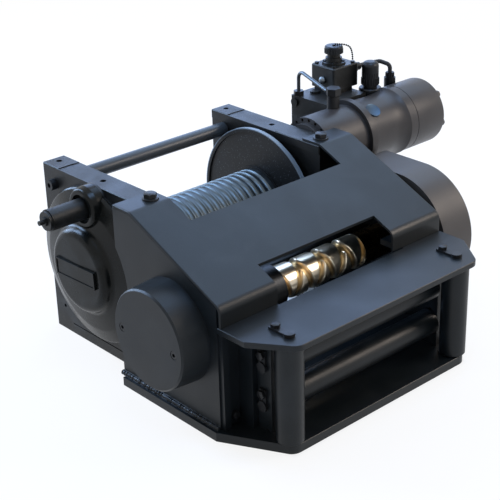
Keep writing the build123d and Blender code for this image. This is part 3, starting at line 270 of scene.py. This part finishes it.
# %% Rubber and anodised aluminium
cable_rubber = painted("moulded_cable_rubber", "#1e1e1f", "#29292a", (0.55, 0.7), 0.9, 0.3, 15)
cap_aluminium = metal("black_anodised_aluminium", "#35373a", "#222427", (0.36, 0.48), 0.7, 0.2)
print("rubber and caps:", cable_rubber.name, cap_aluminium.name)

# %% [markdown]
# ## Dressing the CAD pieces
# A CAD node whose shape is right only needs its finish. A table from finish to nodes keeps this readable,
# and anything the table leaves out, plates and rollers alike, takes the plate paint.

# %% Finish of every CAD node
finishes = {
    casting_paint: ["left_bracket", "right_bracket", "manifold_block", "clutch_cylinder", "gear_cover_plate",
                    "control_box"],
    dome_paint: ["gear_case_cover"],
    motor_paint: ["motor_body", "brake_housing"],
    case_paint: ["chain_case"],
    rod_paint_lightened_for_sheen: ["tie_rod"],
    dark_bronze: ["shaft_sleeves"],
    blued_steel: ["traveller", "follower_pawl", "cap_chain", "guide_rod"],
    drum_steel: ["drum"],
    turned_steel: ["clutch_rod", "drum_bearings"],
    gear_steel: ["sun_shaft", "bull_gear", "motor_pinion", "planet_1", "planet_2", "planet_3", "ring_gear",
                 "planet_carrier", "lay_shaft", "lay_sprocket", "screw_sprocket", "chain", "drum_gear"],
    line_steel: ["brake_line"],
    fastener_finish: ["tie_rod_bolts", "cover_bolts", "fairlead_bolts", "case_screws", "line_fittings",
                      "keeper_bars", "roller_pins", "left_guide_roller", "right_guide_roller"],
    cable_rubber: ["cable"],
    cap_aluminium: ["connector", "dust_cap", "round_cap"],
}
finish_of = {name: material for material, names in finishes.items() for name in names}
for name, piece in nodes.items():
    piece.data.materials.clear()
    piece.data.materials.append(finish_of.get(name, plate_paint))
print("finished", len(nodes), "nodes,", len(nodes) - len(finish_of), "of them in plate paint")

# %% [markdown]
# ## Small shapes that CAD leaves plain
# Every new piece goes the same way: a bmesh is shaped, its faces are turned outwards, and it becomes an
# object at the origin with its place in its mesh. It rides on a CAD body, takes its material, and stands
# for the CAD node that it replaces, if it replaces one.


# %% From a bmesh to a riding piece
def finish_piece(mesh, name, body, material, stands_for=None, smooth=35):
    """Turns a bmesh into an object that rides on a CAD body."""
    bmesh.ops.remove_doubles(mesh, verts=mesh.verts, dist=1e-6)
    bmesh.ops.recalc_face_normals(mesh, faces=mesh.faces)
    data = bpy.data.meshes.new(name)
    mesh.to_mesh(data)
    mesh.free()
    data.materials.append(material)
    piece = bpy.data.objects.new(name, data)
    bpy.context.scene.collection.objects.link(piece)
    data.set_sharp_from_angle(angle=math.radians(smooth))
    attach(piece, body)
    if stands_for:
        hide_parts(stands_for)
    print(name, "has", len(data.polygons), "faces")


def put_into(whole, part, placing):
    """Adds a small bmesh to a larger one, moved to its place."""
    bmesh.ops.transform(part, matrix=placing, verts=part.verts)
    holder = bpy.data.meshes.new("part")
    part.to_mesh(holder)
    part.free()
    whole.from_mesh(holder)
    bpy.data.meshes.remove(holder)


# %% [markdown]
# ## Bolt heads
# A real hexagon head is turned before it is milled, so its corners are cut back at thirty degrees and a
# round land is left on top. Drawing that chamfer as a bevel would cut the flats too. Slicing a plain
# hexagon with a ring of tilted planes takes off only the corners, as the lathe does.


# %% A hexagon head with turned corners
def hexagon_head(flats, height):
    """A hexagon prism on the XY plane, its top corners cut back by a thirty degree chamfer."""
    head = bmesh.new()
    bmesh.ops.create_circle(head, cap_ends=True, segments=6, radius=flats / math.sqrt(3))
    grown = bmesh.ops.extrude_face_region(head, geom=head.faces[:])["geom"]
    top = [item for item in grown if isinstance(item, bmesh.types.BMVert)]
    bmesh.ops.translate(head, vec=(0, 0, height), verts=top)
    slices, tilt, land = 30, math.radians(30), flats * 0.47
    for number in range(slices):
        angle = 2 * math.pi * number / slices
        outwards = (math.sin(tilt) * math.cos(angle), math.sin(tilt) * math.sin(angle), math.cos(tilt))
        on_land = (land * math.cos(angle), land * math.sin(angle), height)
        cut = bmesh.ops.bisect_plane(head, geom=head.verts[:] + head.edges[:] + head.faces[:], dist=1e-7,
                                     plane_co=on_land, plane_no=outwards, clear_outer=True)["geom_cut"]
        rim = [item for item in cut if isinstance(item, bmesh.types.BMEdge) and item.is_boundary]
        if rim:
            bmesh.ops.holes_fill(head, edges=rim)
    return head


def washer(radius, height):
    """A flat washer on the XY plane with its top edge broken."""
    disc = bmesh.new()
    bmesh.ops.create_cone(disc, cap_ends=True, segments=48, radius1=radius, radius2=radius, depth=height,
                          matrix=Matrix.Translation((0, 0, height / 2)))
    upper = [edge for edge in disc.edges if all(vert.co.z > height * 0.9 for vert in edge.verts)]
    edge_break = 0.0004
    bmesh.ops.bevel(disc, geom=upper, affect="EDGES", offset=edge_break, segments=2, profile=0.5, material=-1)
    return disc


large_flats, large_height = 0.019, 0.0075
small_flats, small_height = 0.013, 0.0055
sample = hexagon_head(large_flats, large_height)
print("a head has", len(sample.faces), "faces")
sample.free()

# %% [markdown]
# Two screws of 12 mm thread clamp the folded cover to the side rails, each on a thick washer. A head stops
# where the thread is tight, so both are turned a little out of square.

# %% Bolts of the level wind cover
cover_top = 0.3143
cover_bolt_x, cover_bolt_y = 0.188, -0.1245
washer_radius, washer_height = 0.0135, 0.0025
out_of_square = Matrix.Rotation(math.radians(12), 4, "Z")
cover_bolts = bmesh.new()
for side in (-1, 1):
    seat = Matrix.Translation((side * cover_bolt_x, cover_bolt_y, cover_top))
    put_into(cover_bolts, washer(washer_radius, washer_height), seat)
    on_washer = seat @ Matrix.Translation((0, 0, washer_height))
    put_into(cover_bolts, hexagon_head(large_flats, large_height), on_washer @ out_of_square)
finish_piece(cover_bolts, "cover_bolt_heads", "frame", fastener_finish, "cover_bolts")

# %% [markdown]
# The fairlead is held by smaller screws: one on top of each upright roller's keeper and two in each cheek
# beside the level rollers' keepers, laid over to the side. Low on each side a round button faces the front;
# the washer shape, drawn taller, serves for it.

# %% Bolts of the roller fairlead
top_bolt, button_place = (0.187, -0.4043, 0.195), (0.216, -0.341, 0.03)
cheek_bolt_x, cheek_bolt_y, cheek_bolt_heights = 0.199, -0.386, (0.145, 0.078)
forwards = Matrix.Rotation(math.radians(90), 4, "X")
fairlead_bolts = bmesh.new()
for side in (-1, 1):
    mirrored = Matrix.Translation((side * top_bolt[0], *top_bolt[1:]))
    put_into(fairlead_bolts, hexagon_head(small_flats, small_height), mirrored)
    sideways = Matrix.Rotation(math.radians(side * 90), 4, "Y")
    for height in cheek_bolt_heights:
        on_cheek = Matrix.Translation((side * cheek_bolt_x, cheek_bolt_y, height)) @ sideways
        put_into(fairlead_bolts, hexagon_head(small_flats, small_height), on_cheek)
    in_front = Matrix.Translation((side * button_place[0], *button_place[1:])) @ forwards
    put_into(fairlead_bolts, washer(small_flats / 2, small_height), in_front)
finish_piece(fairlead_bolts, "fairlead_bolt_heads", "frame", fastener_finish,
             "fairlead_bolts")

# %% [markdown]
# ## Weld beads
# The side plates are welded to the base plate by hand. A hand-laid bead is a row of overlapping puddles,
# about three millimetres apart, each a little wider or narrower than the last. A ring of vertices is
# extruded along the seam and scaled at each step: a slow start and a quick end to every puddle give the
# fish-scale look.


# %% Beads along the feet of the side plates
seam_x, seam_z = 0.2462, 0.0158


def weld_bead(side, start, stop, size, seed):
    """A rippled bead along Y, at the corner between a side plate and the base plate."""
    dice = random.Random(seed)
    bead = bmesh.new()
    corner = (side * seam_x, start, seam_z)
    across = Matrix.Translation(corner) @ Matrix.Rotation(math.radians(90), 4, "X")
    bmesh.ops.create_circle(bead, segments=12, radius=size, matrix=across)
    rim = bead.edges[:]
    puddle, narrowest, widest = 0.0031, 0.9, 1.12
    stages = ((0.3, 1.0), (0.45, 1.12), (0.25, 1.0))
    place, width = start, 1.0
    while place < stop:
        drift = dice.uniform(narrowest, widest)
        for share, swell in stages:
            grown = bmesh.ops.extrude_edge_only(bead, edges=rim)["geom"]
            ring = [item for item in grown if isinstance(item, bmesh.types.BMVert)]
            rim = [item for item in grown if isinstance(item, bmesh.types.BMEdge) and item.is_boundary]
            place += puddle * share
            bmesh.ops.translate(bead, vec=(0, puddle * share, 0), verts=ring)
            grow = drift * swell / width
            centre = Matrix.Translation((-side * seam_x, 0, -seam_z))
            bmesh.ops.scale(bead, vec=(grow, 1, grow), space=centre, verts=ring)
            width = drift * swell
    bmesh.ops.holes_fill(bead, edges=[edge for edge in bead.edges if edge.is_boundary])
    return bead


seam_start, seam_stop, bead_radius = -0.3405, -0.1015, 0.0042
beads = bmesh.new()
for side, seed in ((-1, 11), (1, 12)):
    put_into(beads, weld_bead(side, seam_start, seam_stop, bead_radius, seed), Matrix())
finish_piece(beads, "foot_weld_beads", "frame", weld_paint, smooth=50)

# %% [markdown]
# ## Blind plug of the control box
# The unused cable hole in the box's left face is closed by a pressed aluminium dome. A ball, flattened
# along the hole, is enough; its far half sits in the box's wall.

# %% Domed plug
hole_centre, plug_radius, flattened = (0.3388, 0.0217, 0.3522), 0.0072, 0.72
dome = bmesh.new()
bmesh.ops.create_uvsphere(dome, u_segments=32, v_segments=16, radius=plug_radius,
                          matrix=Matrix.Translation(hole_centre) @ Matrix.Diagonal((flattened, 1, 1, 1)))
finish_piece(dome, "box_blind_plug", "frame", plug_aluminium, smooth=80)

# %% [markdown]
# ## Reversing screw
# The bright screw in the window is the eye-catcher. It carries a right-hand and a left-hand groove of the
# same lead, which cross twice a turn and leave islands of land between them. The lands are hard chrome,
# buffed by the traveller, and their edges are worn round. The chrome is tinted pale gold, a painted warm
# reflection, and the groove floors are painted brown, darker with depth: painted shade and warm reflection
# in the grooves. A cylinder is sliced finely along its length, and each vertex is then let down by how near
# it lies to either groove, so the walls get a soft shoulder that catches the light, which a boolean's sharp
# edge never would.

# %% Finish of lands and grooves
screw_y, screw_z, screw_radius = -0.2394, 0.149, 0.030
groove_depth, groove_half = 0.0066, 0.0069
screw_chrome = empty_material("hard_chrome_on_reversing_screw")
screw_place = add_node(screw_chrome, "ShaderNodeTexCoord").outputs["Object"]
screw_centred = add_node(screw_chrome, "ShaderNodeMapping",
                         {"Location": (0, -screw_y, -screw_z), "Scale": (0, 1, 1)}, {"Vector": screw_place})
screw_reach = add_node(screw_chrome, "ShaderNodeVectorMath", {"operation": "LENGTH"},
                       {0: screw_centred.outputs[0]})
# Painted shade: a mask that grows with depth in the grooves turns their floors brown and makes them rougher.
groove_depth_painted_shade = add_node(screw_chrome, "ShaderNodeMapRange",
                {"From Min": screw_radius - 0.0008, "From Max": screw_radius - groove_depth * 0.8},
                {"Value": screw_reach.outputs["Value"]})
groove_painted_shade_noise = add_node(screw_chrome, "ShaderNodeTexNoise", {"Scale": 90.0, "Detail": 3.0}, {"Vector": screw_place})
groove_painted_shade_tint = add_node(screw_chrome, "ShaderNodeMix",
                    {"data_type": "RGBA", 6: linear("#a58558"), 7: linear("#e3cb9c")},
                    {0: groove_painted_shade_noise.outputs["Fac"]})
# Painted warm reflection: the lands are tinted pale gold, and the groove floors get the painted brown shade.
screw_tint = add_node(screw_chrome, "ShaderNodeMix", {"data_type": "RGBA", 6: linear("#f7ecd6")},
                      {0: groove_depth_painted_shade.outputs[0], 7: groove_painted_shade_tint.outputs[2]})
screw_gloss = add_node(screw_chrome, "ShaderNodeMapRange", {"To Min": 0.28, "To Max": 0.4},
                       {"Value": groove_depth_painted_shade.outputs[0]})
screw_body = add_node(screw_chrome, "ShaderNodeBsdfPrincipled", {"Metallic": 1.0},
                      {"Base Color": screw_tint.outputs[2], "Roughness": screw_gloss.outputs[0]})
add_node(screw_chrome, "ShaderNodeOutputMaterial", links={"Surface": screw_body.outputs[0]})
print("screw finish:", screw_chrome.name)

# %% [markdown]
# The blank is extruded ring by ring, 0.9 mm at a time, which is fine enough for the two grooves to be
# pressed in by moving vertices towards the axis. Gears of 40 and 56 teeth and sprockets of 19 and 46 drive
# it from the drum, and its lead is such that one turn of the drum moves the rope by one groove, 14.8 mm.
# Plain ends run in the side plates.

# %% The screw itself
screw_half, screw_lead, end_land = 0.151, 0.050164, 0.008
plain_end_radius, plain_ends = 0.015, (-0.275, 0.300)
groove_run = screw_half - end_land
groove_floor_share = 0.62
blank = bmesh.new()
upright = Matrix.Translation((-screw_half, screw_y, screw_z)) @ Matrix.Rotation(math.radians(90), 4, "Y")
bmesh.ops.create_circle(blank, segments=120, radius=screw_radius, matrix=upright)
rim = blank.edges[:]
step = 0.0009
for number in range(round(2 * screw_half / step)):
    grown = bmesh.ops.extrude_edge_only(blank, edges=rim)["geom"]
    ring = [item for item in grown if isinstance(item, bmesh.types.BMVert)]
    rim = [item for item in grown if isinstance(item, bmesh.types.BMEdge) and item.is_boundary]
    bmesh.ops.translate(blank, vec=(step, 0, 0), verts=ring)
for vert in blank.verts:
    along = vert.co.x
    angle = math.atan2(vert.co.z - screw_z, vert.co.y - screw_y) / (2 * math.pi)
    nearest = 1.0
    for hand in (1, -1):
        turns = (along + groove_run) / screw_lead - hand * (angle - 0.25)
        off = abs(turns - round(turns)) * screw_lead / groove_half
        nearest = min(nearest, off)
    if abs(along) < groove_run + groove_half:
        # A flat floor, a steep wall and a round shoulder
        drop = 1 - min(1, max(0, (nearest - groove_floor_share) / (1 - groove_floor_share)))
        drop = drop * drop * (3 - 2 * drop) * groove_depth
        shrink = (screw_radius - drop) / screw_radius
        vert.co.y = screw_y + (vert.co.y - screw_y) * shrink
        vert.co.z = screw_z + (vert.co.z - screw_z) * shrink
for low, high in ((plain_ends[0], -screw_half), (screw_half, plain_ends[1])):
    end = bmesh.new()
    centre = Matrix.Translation(((low + high) / 2, screw_y, screw_z))
    bmesh.ops.create_cone(end, cap_ends=True, segments=64, radius1=plain_end_radius, radius2=plain_end_radius,
                          depth=high - low, matrix=centre @ Matrix.Rotation(math.radians(90), 4, "Y"))
    put_into(blank, end, Matrix())
bmesh.ops.holes_fill(blank, edges=[edge for edge in blank.edges if edge.is_boundary])
finish_piece(blank, "reversing_screw", "screw_body", screw_chrome, "diamond_screw", smooth=50)

# %% [markdown]
# ## Hydraulic motor
# The motor is a grey casting turned between centres. Behind the clamping ring its bell is slimmer than its
# end, and a hollow curve, a cove, leads up to a sharp crest. That cove mirrors the sky as a band, so it has
# to be a true concave sweep. A half profile is spun once round the motor's axis.


# %% Motor casting, turned around its own axis
def turned(profile, y, z, steps=96):
    """Spins a profile of (x, radius) pairs, which starts and ends on the axis, once round."""
    mesh = bmesh.new()
    verts = [mesh.verts.new((x, y, z + radius)) for x, radius in profile]
    edges = [mesh.edges.new(pair) for pair in zip(verts, verts[1:])]
    bmesh.ops.spin(mesh, geom=verts + edges, cent=(0, y, z), axis=(1, 0, 0), angle=2 * math.pi, steps=steps,
                   use_merge=True)
    return mesh


motor_y, motor_z = -0.063, 0.270
motor_profile = [
    (0.3320, 0), (0.3320, 0.0585), (0.3400, 0.0580), (0.3920, 0.0566),
    (0.3980, 0.0566), (0.4040, 0.0570), (0.4100, 0.0579), (0.4155, 0.0592), (0.4200, 0.0608),
    (0.4240, 0.0628), (0.4262, 0.0641), (0.4285, 0.0641), (0.4290, 0.0634),
    (0.4462, 0.0630), (0.4465, 0.0622), (0.4473, 0.0622), (0.4476, 0.0630),
    (0.5170, 0.0628), (0.5198, 0.0621), (0.5214, 0.0604), (0.5220, 0.0580), (0.5220, 0),
]
motor = turned(motor_profile, motor_y, motor_z)
print("the motor casting is", round(motor_profile[-1][0] - motor_profile[0][0], 3), "m long")

# %% [markdown]
# A zinc plug closes the oil port that looks up and forward out of the bell. Its face is turned down inside
# a narrow rim, so a washer with an inset, sunken face stands for it.

# %% Zinc plug in the oil port
port_x, port_depth = 0.352, 0.0475
port_plug_radius, port_plug_height = 0.0142, 0.012
plug_rim_width, plug_sunk = 0.0022, 0.0008
port_axis = Vector((0, -0.57, 0.82)).normalized()
port_turn = port_axis.to_track_quat("Z", "Y").to_matrix().to_4x4()
plug = washer(port_plug_radius, port_plug_height)
plug_top = [face for face in plug.faces if face.normal.z > 0.99 and face.calc_area() > 1e-4]
bmesh.ops.inset_region(plug, faces=plug_top, thickness=plug_rim_width, depth=0)
sunken = list({vert for face in plug_top for vert in face.verts})
bmesh.ops.translate(plug, vec=(0, 0, -plug_sunk), verts=sunken)
port_seat = Matrix.Translation(Vector((port_x, motor_y, motor_z)) + port_axis * port_depth)
bmesh.ops.transform(plug, verts=plug.verts, matrix=port_seat @ port_turn)
finish_piece(plug, "motor_port_plug", "frame", zinc_tinted_for_sky_reflection, smooth=30)

# %% [markdown]
# Six hexagon screws hold the end cover. Their heads stand proud of its rim, which is what breaks the
# motor's outline in the photograph.

# %% End bolts of the motor
bolt_circle, end_face, end_bolt_height = 0.0535, 0.5215, 0.0062
end_bolts, first_angle = 6, 15
outwards = Matrix.Rotation(math.radians(90), 4, "Y")
for number in range(end_bolts):
    angle = math.radians(first_angle + number * 360 / end_bolts)
    place = Matrix.Translation((end_face, motor_y + bolt_circle * math.cos(angle),
                                motor_z + bolt_circle * math.sin(angle)))
    put_into(motor, hexagon_head(small_flats, end_bolt_height), place @ outwards)
finish_piece(motor, "motor_casting", "frame", motor_paint, "motor_body", smooth=30)

# %% [markdown]
# ## Bead chain of the dust cap
# The dust cap hangs on a ball chain like that of a sink plug: hollow steel balls a few millimetres apart,
# with a thin link showing between them. It is held at both ends, so its line is short and nearly rigid. The
# balls follow points read from one smooth curve through the CAD route.


# %% Balls along a smooth curve
def smooth_line(points, order=3):
    """Evaluates a NURBS curve with these control points and gives its points back."""
    curve = bpy.data.curves.new("line", "CURVE")
    curve.dimensions = "3D"
    spline = curve.splines.new("NURBS")
    spline.points.add(len(points) - 1)
    for point, place in zip(spline.points, points):
        point.co = (*place, 1)
    spline.order_u = order
    spline.use_endpoint_u = True
    spline.resolution_u = 24
    holder = bpy.data.objects.new("line", curve)
    read = bpy.data.meshes.new_from_object(holder)
    line = [vert.co.copy() for vert in read.vertices]
    bpy.data.objects.remove(holder)
    bpy.data.curves.remove(curve)
    bpy.data.meshes.remove(read)
    return line


def evenly(line, spacing):
    """Points at equal steps along a line of points."""
    placed, carried = [], 0.0
    for start, end in zip(line, line[1:]):
        step = (end - start).length
        while carried <= step:
            placed.append(start.lerp(end, carried / step))
            carried += spacing
        carried -= step
    return placed


chain_route = [(0.3749, 0.023, 0.4136), (0.386, 0.003, 0.416), (0.400, 0.002, 0.400), (0.399, 0.001, 0.381)]
ball_gap, ball_radius, link_radius = 0.0042, 0.0018, 0.0006
ball_chain = bmesh.new()
balls = evenly(smooth_line(chain_route), ball_gap)
for place in balls:
    bmesh.ops.create_uvsphere(ball_chain, u_segments=12, v_segments=8, radius=ball_radius,
                              matrix=Matrix.Translation(place))
for place, following in zip(balls, balls[1:]):
    turn = (following - place).to_track_quat("Z", "Y").to_matrix().to_4x4()
    bmesh.ops.create_cone(ball_chain, cap_ends=True, segments=8, radius1=link_radius, radius2=link_radius,
                          depth=(following - place).length,
                          matrix=Matrix.Translation((place + following) / 2) @ turn)
finish_piece(ball_chain, "cap_ball_chain", "frame", bead_steel, "cap_chain", smooth=60)
print("the chain has", len(balls), "balls")

# %% [markdown]
# ## Floor, light and camera
# The photograph is a cut-out on white. The floor is matt white and takes a soft shadow, but most of what a
# camera or a mirroring surface sees of it is its own glow, so it stays white whatever the lamps do. Far out
# it fades into the white surround, and right under the winch, where hardly any light comes in, the glow is
# let down.

# %% The pale floor
floor_half = 9.0
floor_mesh = bmesh.new()
bmesh.ops.create_grid(floor_mesh, x_segments=1, y_segments=1, size=floor_half)
floor_data = bpy.data.meshes.new("studio_floor")
floor_mesh.to_mesh(floor_data)
floor_mesh.free()
floor = bpy.data.objects.new("studio_floor", floor_data)
bpy.context.scene.collection.objects.link(floor)
floor_finish = empty_material("matt_white_studio_floor")
floor_place = add_node(floor_finish, "ShaderNodeTexCoord").outputs["Object"]
floor_grain = add_node(floor_finish, "ShaderNodeTexNoise", {"Scale": 6.0, "Detail": 2.0},
                       {"Vector": floor_place})
floor_colour = add_node(floor_finish, "ShaderNodeMix",
                        {"data_type": "RGBA", 6: linear("#fbfbfb"), 7: linear("#ffffff")},
                        {0: floor_grain.outputs["Fac"]})
floor_body = add_node(floor_finish, "ShaderNodeBsdfPrincipled", {"Roughness": 0.9},
                      {"Base Color": floor_colour.outputs[2]})
floor_glow = add_node(floor_finish, "ShaderNodeEmission", {"Strength": 1.0})
floor_data.materials.append(floor_finish)
floor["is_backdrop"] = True
print("floor is", floor.dimensions[:2], "m across")

# %% How much of the floor glows, and for which rays
glow_around, glow_under = 0.86, 0.12
fade_start, fade_end = 0.9, 2.4
winch_half_x, winch_half_y, winch_middle_y = 0.205, 0.3, -0.16
floor_ray = add_node(floor_finish, "ShaderNodeLightPath")
floor_seen = add_node(floor_finish, "ShaderNodeMath", {"operation": "MAXIMUM"},
                      {0: floor_ray.outputs["Is Camera Ray"], 1: floor_ray.outputs["Is Glossy Ray"]})
floor_any = add_node(floor_finish, "ShaderNodeMath", {"operation": "MAXIMUM"},
                     {0: floor_seen.outputs[0], 1: floor_ray.outputs["Is Transmission Ray"]})
floor_reach = add_node(floor_finish, "ShaderNodeVectorMath", {"operation": "LENGTH"}, {0: floor_place})
floor_far = add_node(floor_finish, "ShaderNodeMapRange",
                     {"From Min": fade_start, "From Max": fade_end, "To Max": 1 - glow_around},
                     {"Value": floor_reach.outputs["Value"]})
floor_under = add_node(floor_finish, "ShaderNodeMapping",
                       {"Location": (0, -winch_middle_y / winch_half_y, 0),
                        "Scale": (1 / winch_half_x, 1 / winch_half_y, 0)}, {"Vector": floor_place})
floor_side = add_node(floor_finish, "ShaderNodeVectorMath", {"operation": "ABSOLUTE"},
                      {0: floor_under.outputs[0]})
floor_sides = add_node(floor_finish, "ShaderNodeSeparateXYZ", links={0: floor_side.outputs[0]})
floor_edge = add_node(floor_finish, "ShaderNodeMath", {"operation": "MAXIMUM"},
                      {0: floor_sides.outputs[0], 1: floor_sides.outputs[1]})
floor_near = add_node(floor_finish, "ShaderNodeMapRange",
                      {"From Min": 0.85, "From Max": 1.0, "To Min": glow_under, "To Max": glow_around},
                      {"Value": floor_edge.outputs[0]})
floor_white = add_node(floor_finish, "ShaderNodeMath", {"operation": "ADD"},
                       {0: floor_near.outputs[0], 1: floor_far.outputs[0]})
floor_share = add_node(floor_finish, "ShaderNodeMath", {"operation": "MULTIPLY"},
                       {0: floor_any.outputs[0], 1: floor_white.outputs[0]})
floor_mix = add_node(floor_finish, "ShaderNodeMixShader",
                     links={0: floor_share.outputs[0], 1: floor_body.outputs[0], 2: floor_glow.outputs[0]})
add_node(floor_finish, "ShaderNodeOutputMaterial", links={"Surface": floor_mix.outputs[0]})
print("floor finish has", len(floor_finish.node_tree.nodes), "nodes")

# %% [markdown]
# A dim white world fills the shadows, and looks full white to the camera and in reflections. Satin black
# shows mainly what it mirrors, so six soft boxes stand where the winch's faces mirror them: two windows
# behind, for the shoulders of the castings; a wide one at the rear right, for the level tops; one high on
# the right, for the slope of the cover; one above, for the motor and the screw; and a warm one in front,
# for the rollers and the lip.

# %% White world
world = bpy.data.worlds.new("white_studio")
world.use_nodes = True
bpy.context.scene.world = world
world.node_tree.nodes.clear()
fill_strength = 0.4
sky = add_node(world, "ShaderNodeBackground", {"Color": linear("#ffffff"), "Strength": fill_strength})
seen = add_node(world, "ShaderNodeBackground", {"Color": linear("#ffffff"), "Strength": 1.0})
ray = add_node(world, "ShaderNodeLightPath")
camera_or_glossy = add_node(world, "ShaderNodeMath", {"operation": "MAXIMUM"},
                            {0: ray.outputs["Is Camera Ray"], 1: ray.outputs["Is Glossy Ray"]})
any_sight = add_node(world, "ShaderNodeMath", {"operation": "MAXIMUM"},
                     {0: camera_or_glossy.outputs[0], 1: ray.outputs["Is Transmission Ray"]})
mixed = add_node(world, "ShaderNodeMixShader",
                 links={0: any_sight.outputs[0], 1: sky.outputs[0], 2: seen.outputs[0]})
add_node(world, "ShaderNodeOutputWorld", links={"Surface": mixed.outputs[0]})
print("the world lights with a strength of", fill_strength)


# %% Soft lamps
def soft_lamp(name, place, target, size, power, tint):
    """A square soft box that looks at a point."""
    lamp = bpy.data.lights.new(name, "AREA")
    lamp.size = size
    lamp.energy = power
    lamp.color = linear(tint)[:3]
    holder = bpy.data.objects.new(name, lamp)
    aim = (Vector(target) - Vector(place)).to_track_quat("-Z", "Y")
    holder.matrix_world = Matrix.Translation(place) @ aim.to_matrix().to_4x4()
    bpy.context.scene.collection.objects.link(holder)


middle = (0.05, -0.15, 0.15)
soft_lamp("back_window", (-0.9, 1.9, 1.95), middle, 1.0, 66, "#acd0ff")
soft_lamp("low_window", (-0.55, 2.5, 0.9), middle, 1.1, 44, "#b4d4ff")
soft_lamp("high_soft_box", (1.7, 0.45, 2.4), middle, 1.5, 25, "#a4ceff")
soft_lamp("rear_window", (1.6, 1.8, 1.35), middle, 1.4, 22, "#8fbcff")
soft_lamp("top_soft_box", (0.05, -0.55, 2.5), middle, 0.8, 24, "#9cc8ff")
soft_lamp("right_soft_box", (1.75, -1.6, 1.5), middle, 1.0, 31, "#ffeedf")
print("lamps:", [lamp.name for lamp in bpy.data.lights])

# %% [markdown]
# The camera stands where the photograph was taken from: in front of the winch, to its left and above it, a
# little over two metres away, with a long lens. It leans a degree and a half, as the photograph does.

# %% Camera at the photograph's view
camera_place, sight = (-1.2998, -1.6043, 1.0878), Vector((0.6016, 0.6762, -0.4252)).normalized()
lean = Matrix.Rotation(math.radians(-1.547), 4, "Z")
camera_data = bpy.data.cameras.new("photo_camera")
camera_data.lens = 92.33
camera_data.sensor_width = 36.0
camera_data.clip_end = 50.0
camera = bpy.data.objects.new("photo_camera", camera_data)
towards = sight.to_track_quat("-Z", "Y").to_matrix().to_4x4()
camera.matrix_world = Matrix.Translation(camera_place) @ towards @ lean
bpy.context.scene.collection.objects.link(camera)
bpy.context.scene.camera = camera
bpy.context.scene.view_settings.view_transform = "Standard"
print("camera at", [round(value, 3) for value in camera.location])

# %% [markdown]
# The box around the visual model is measured before the end. The visual model may not outgrow the CAD
# model.

# %% Sizes and the end
low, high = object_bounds()
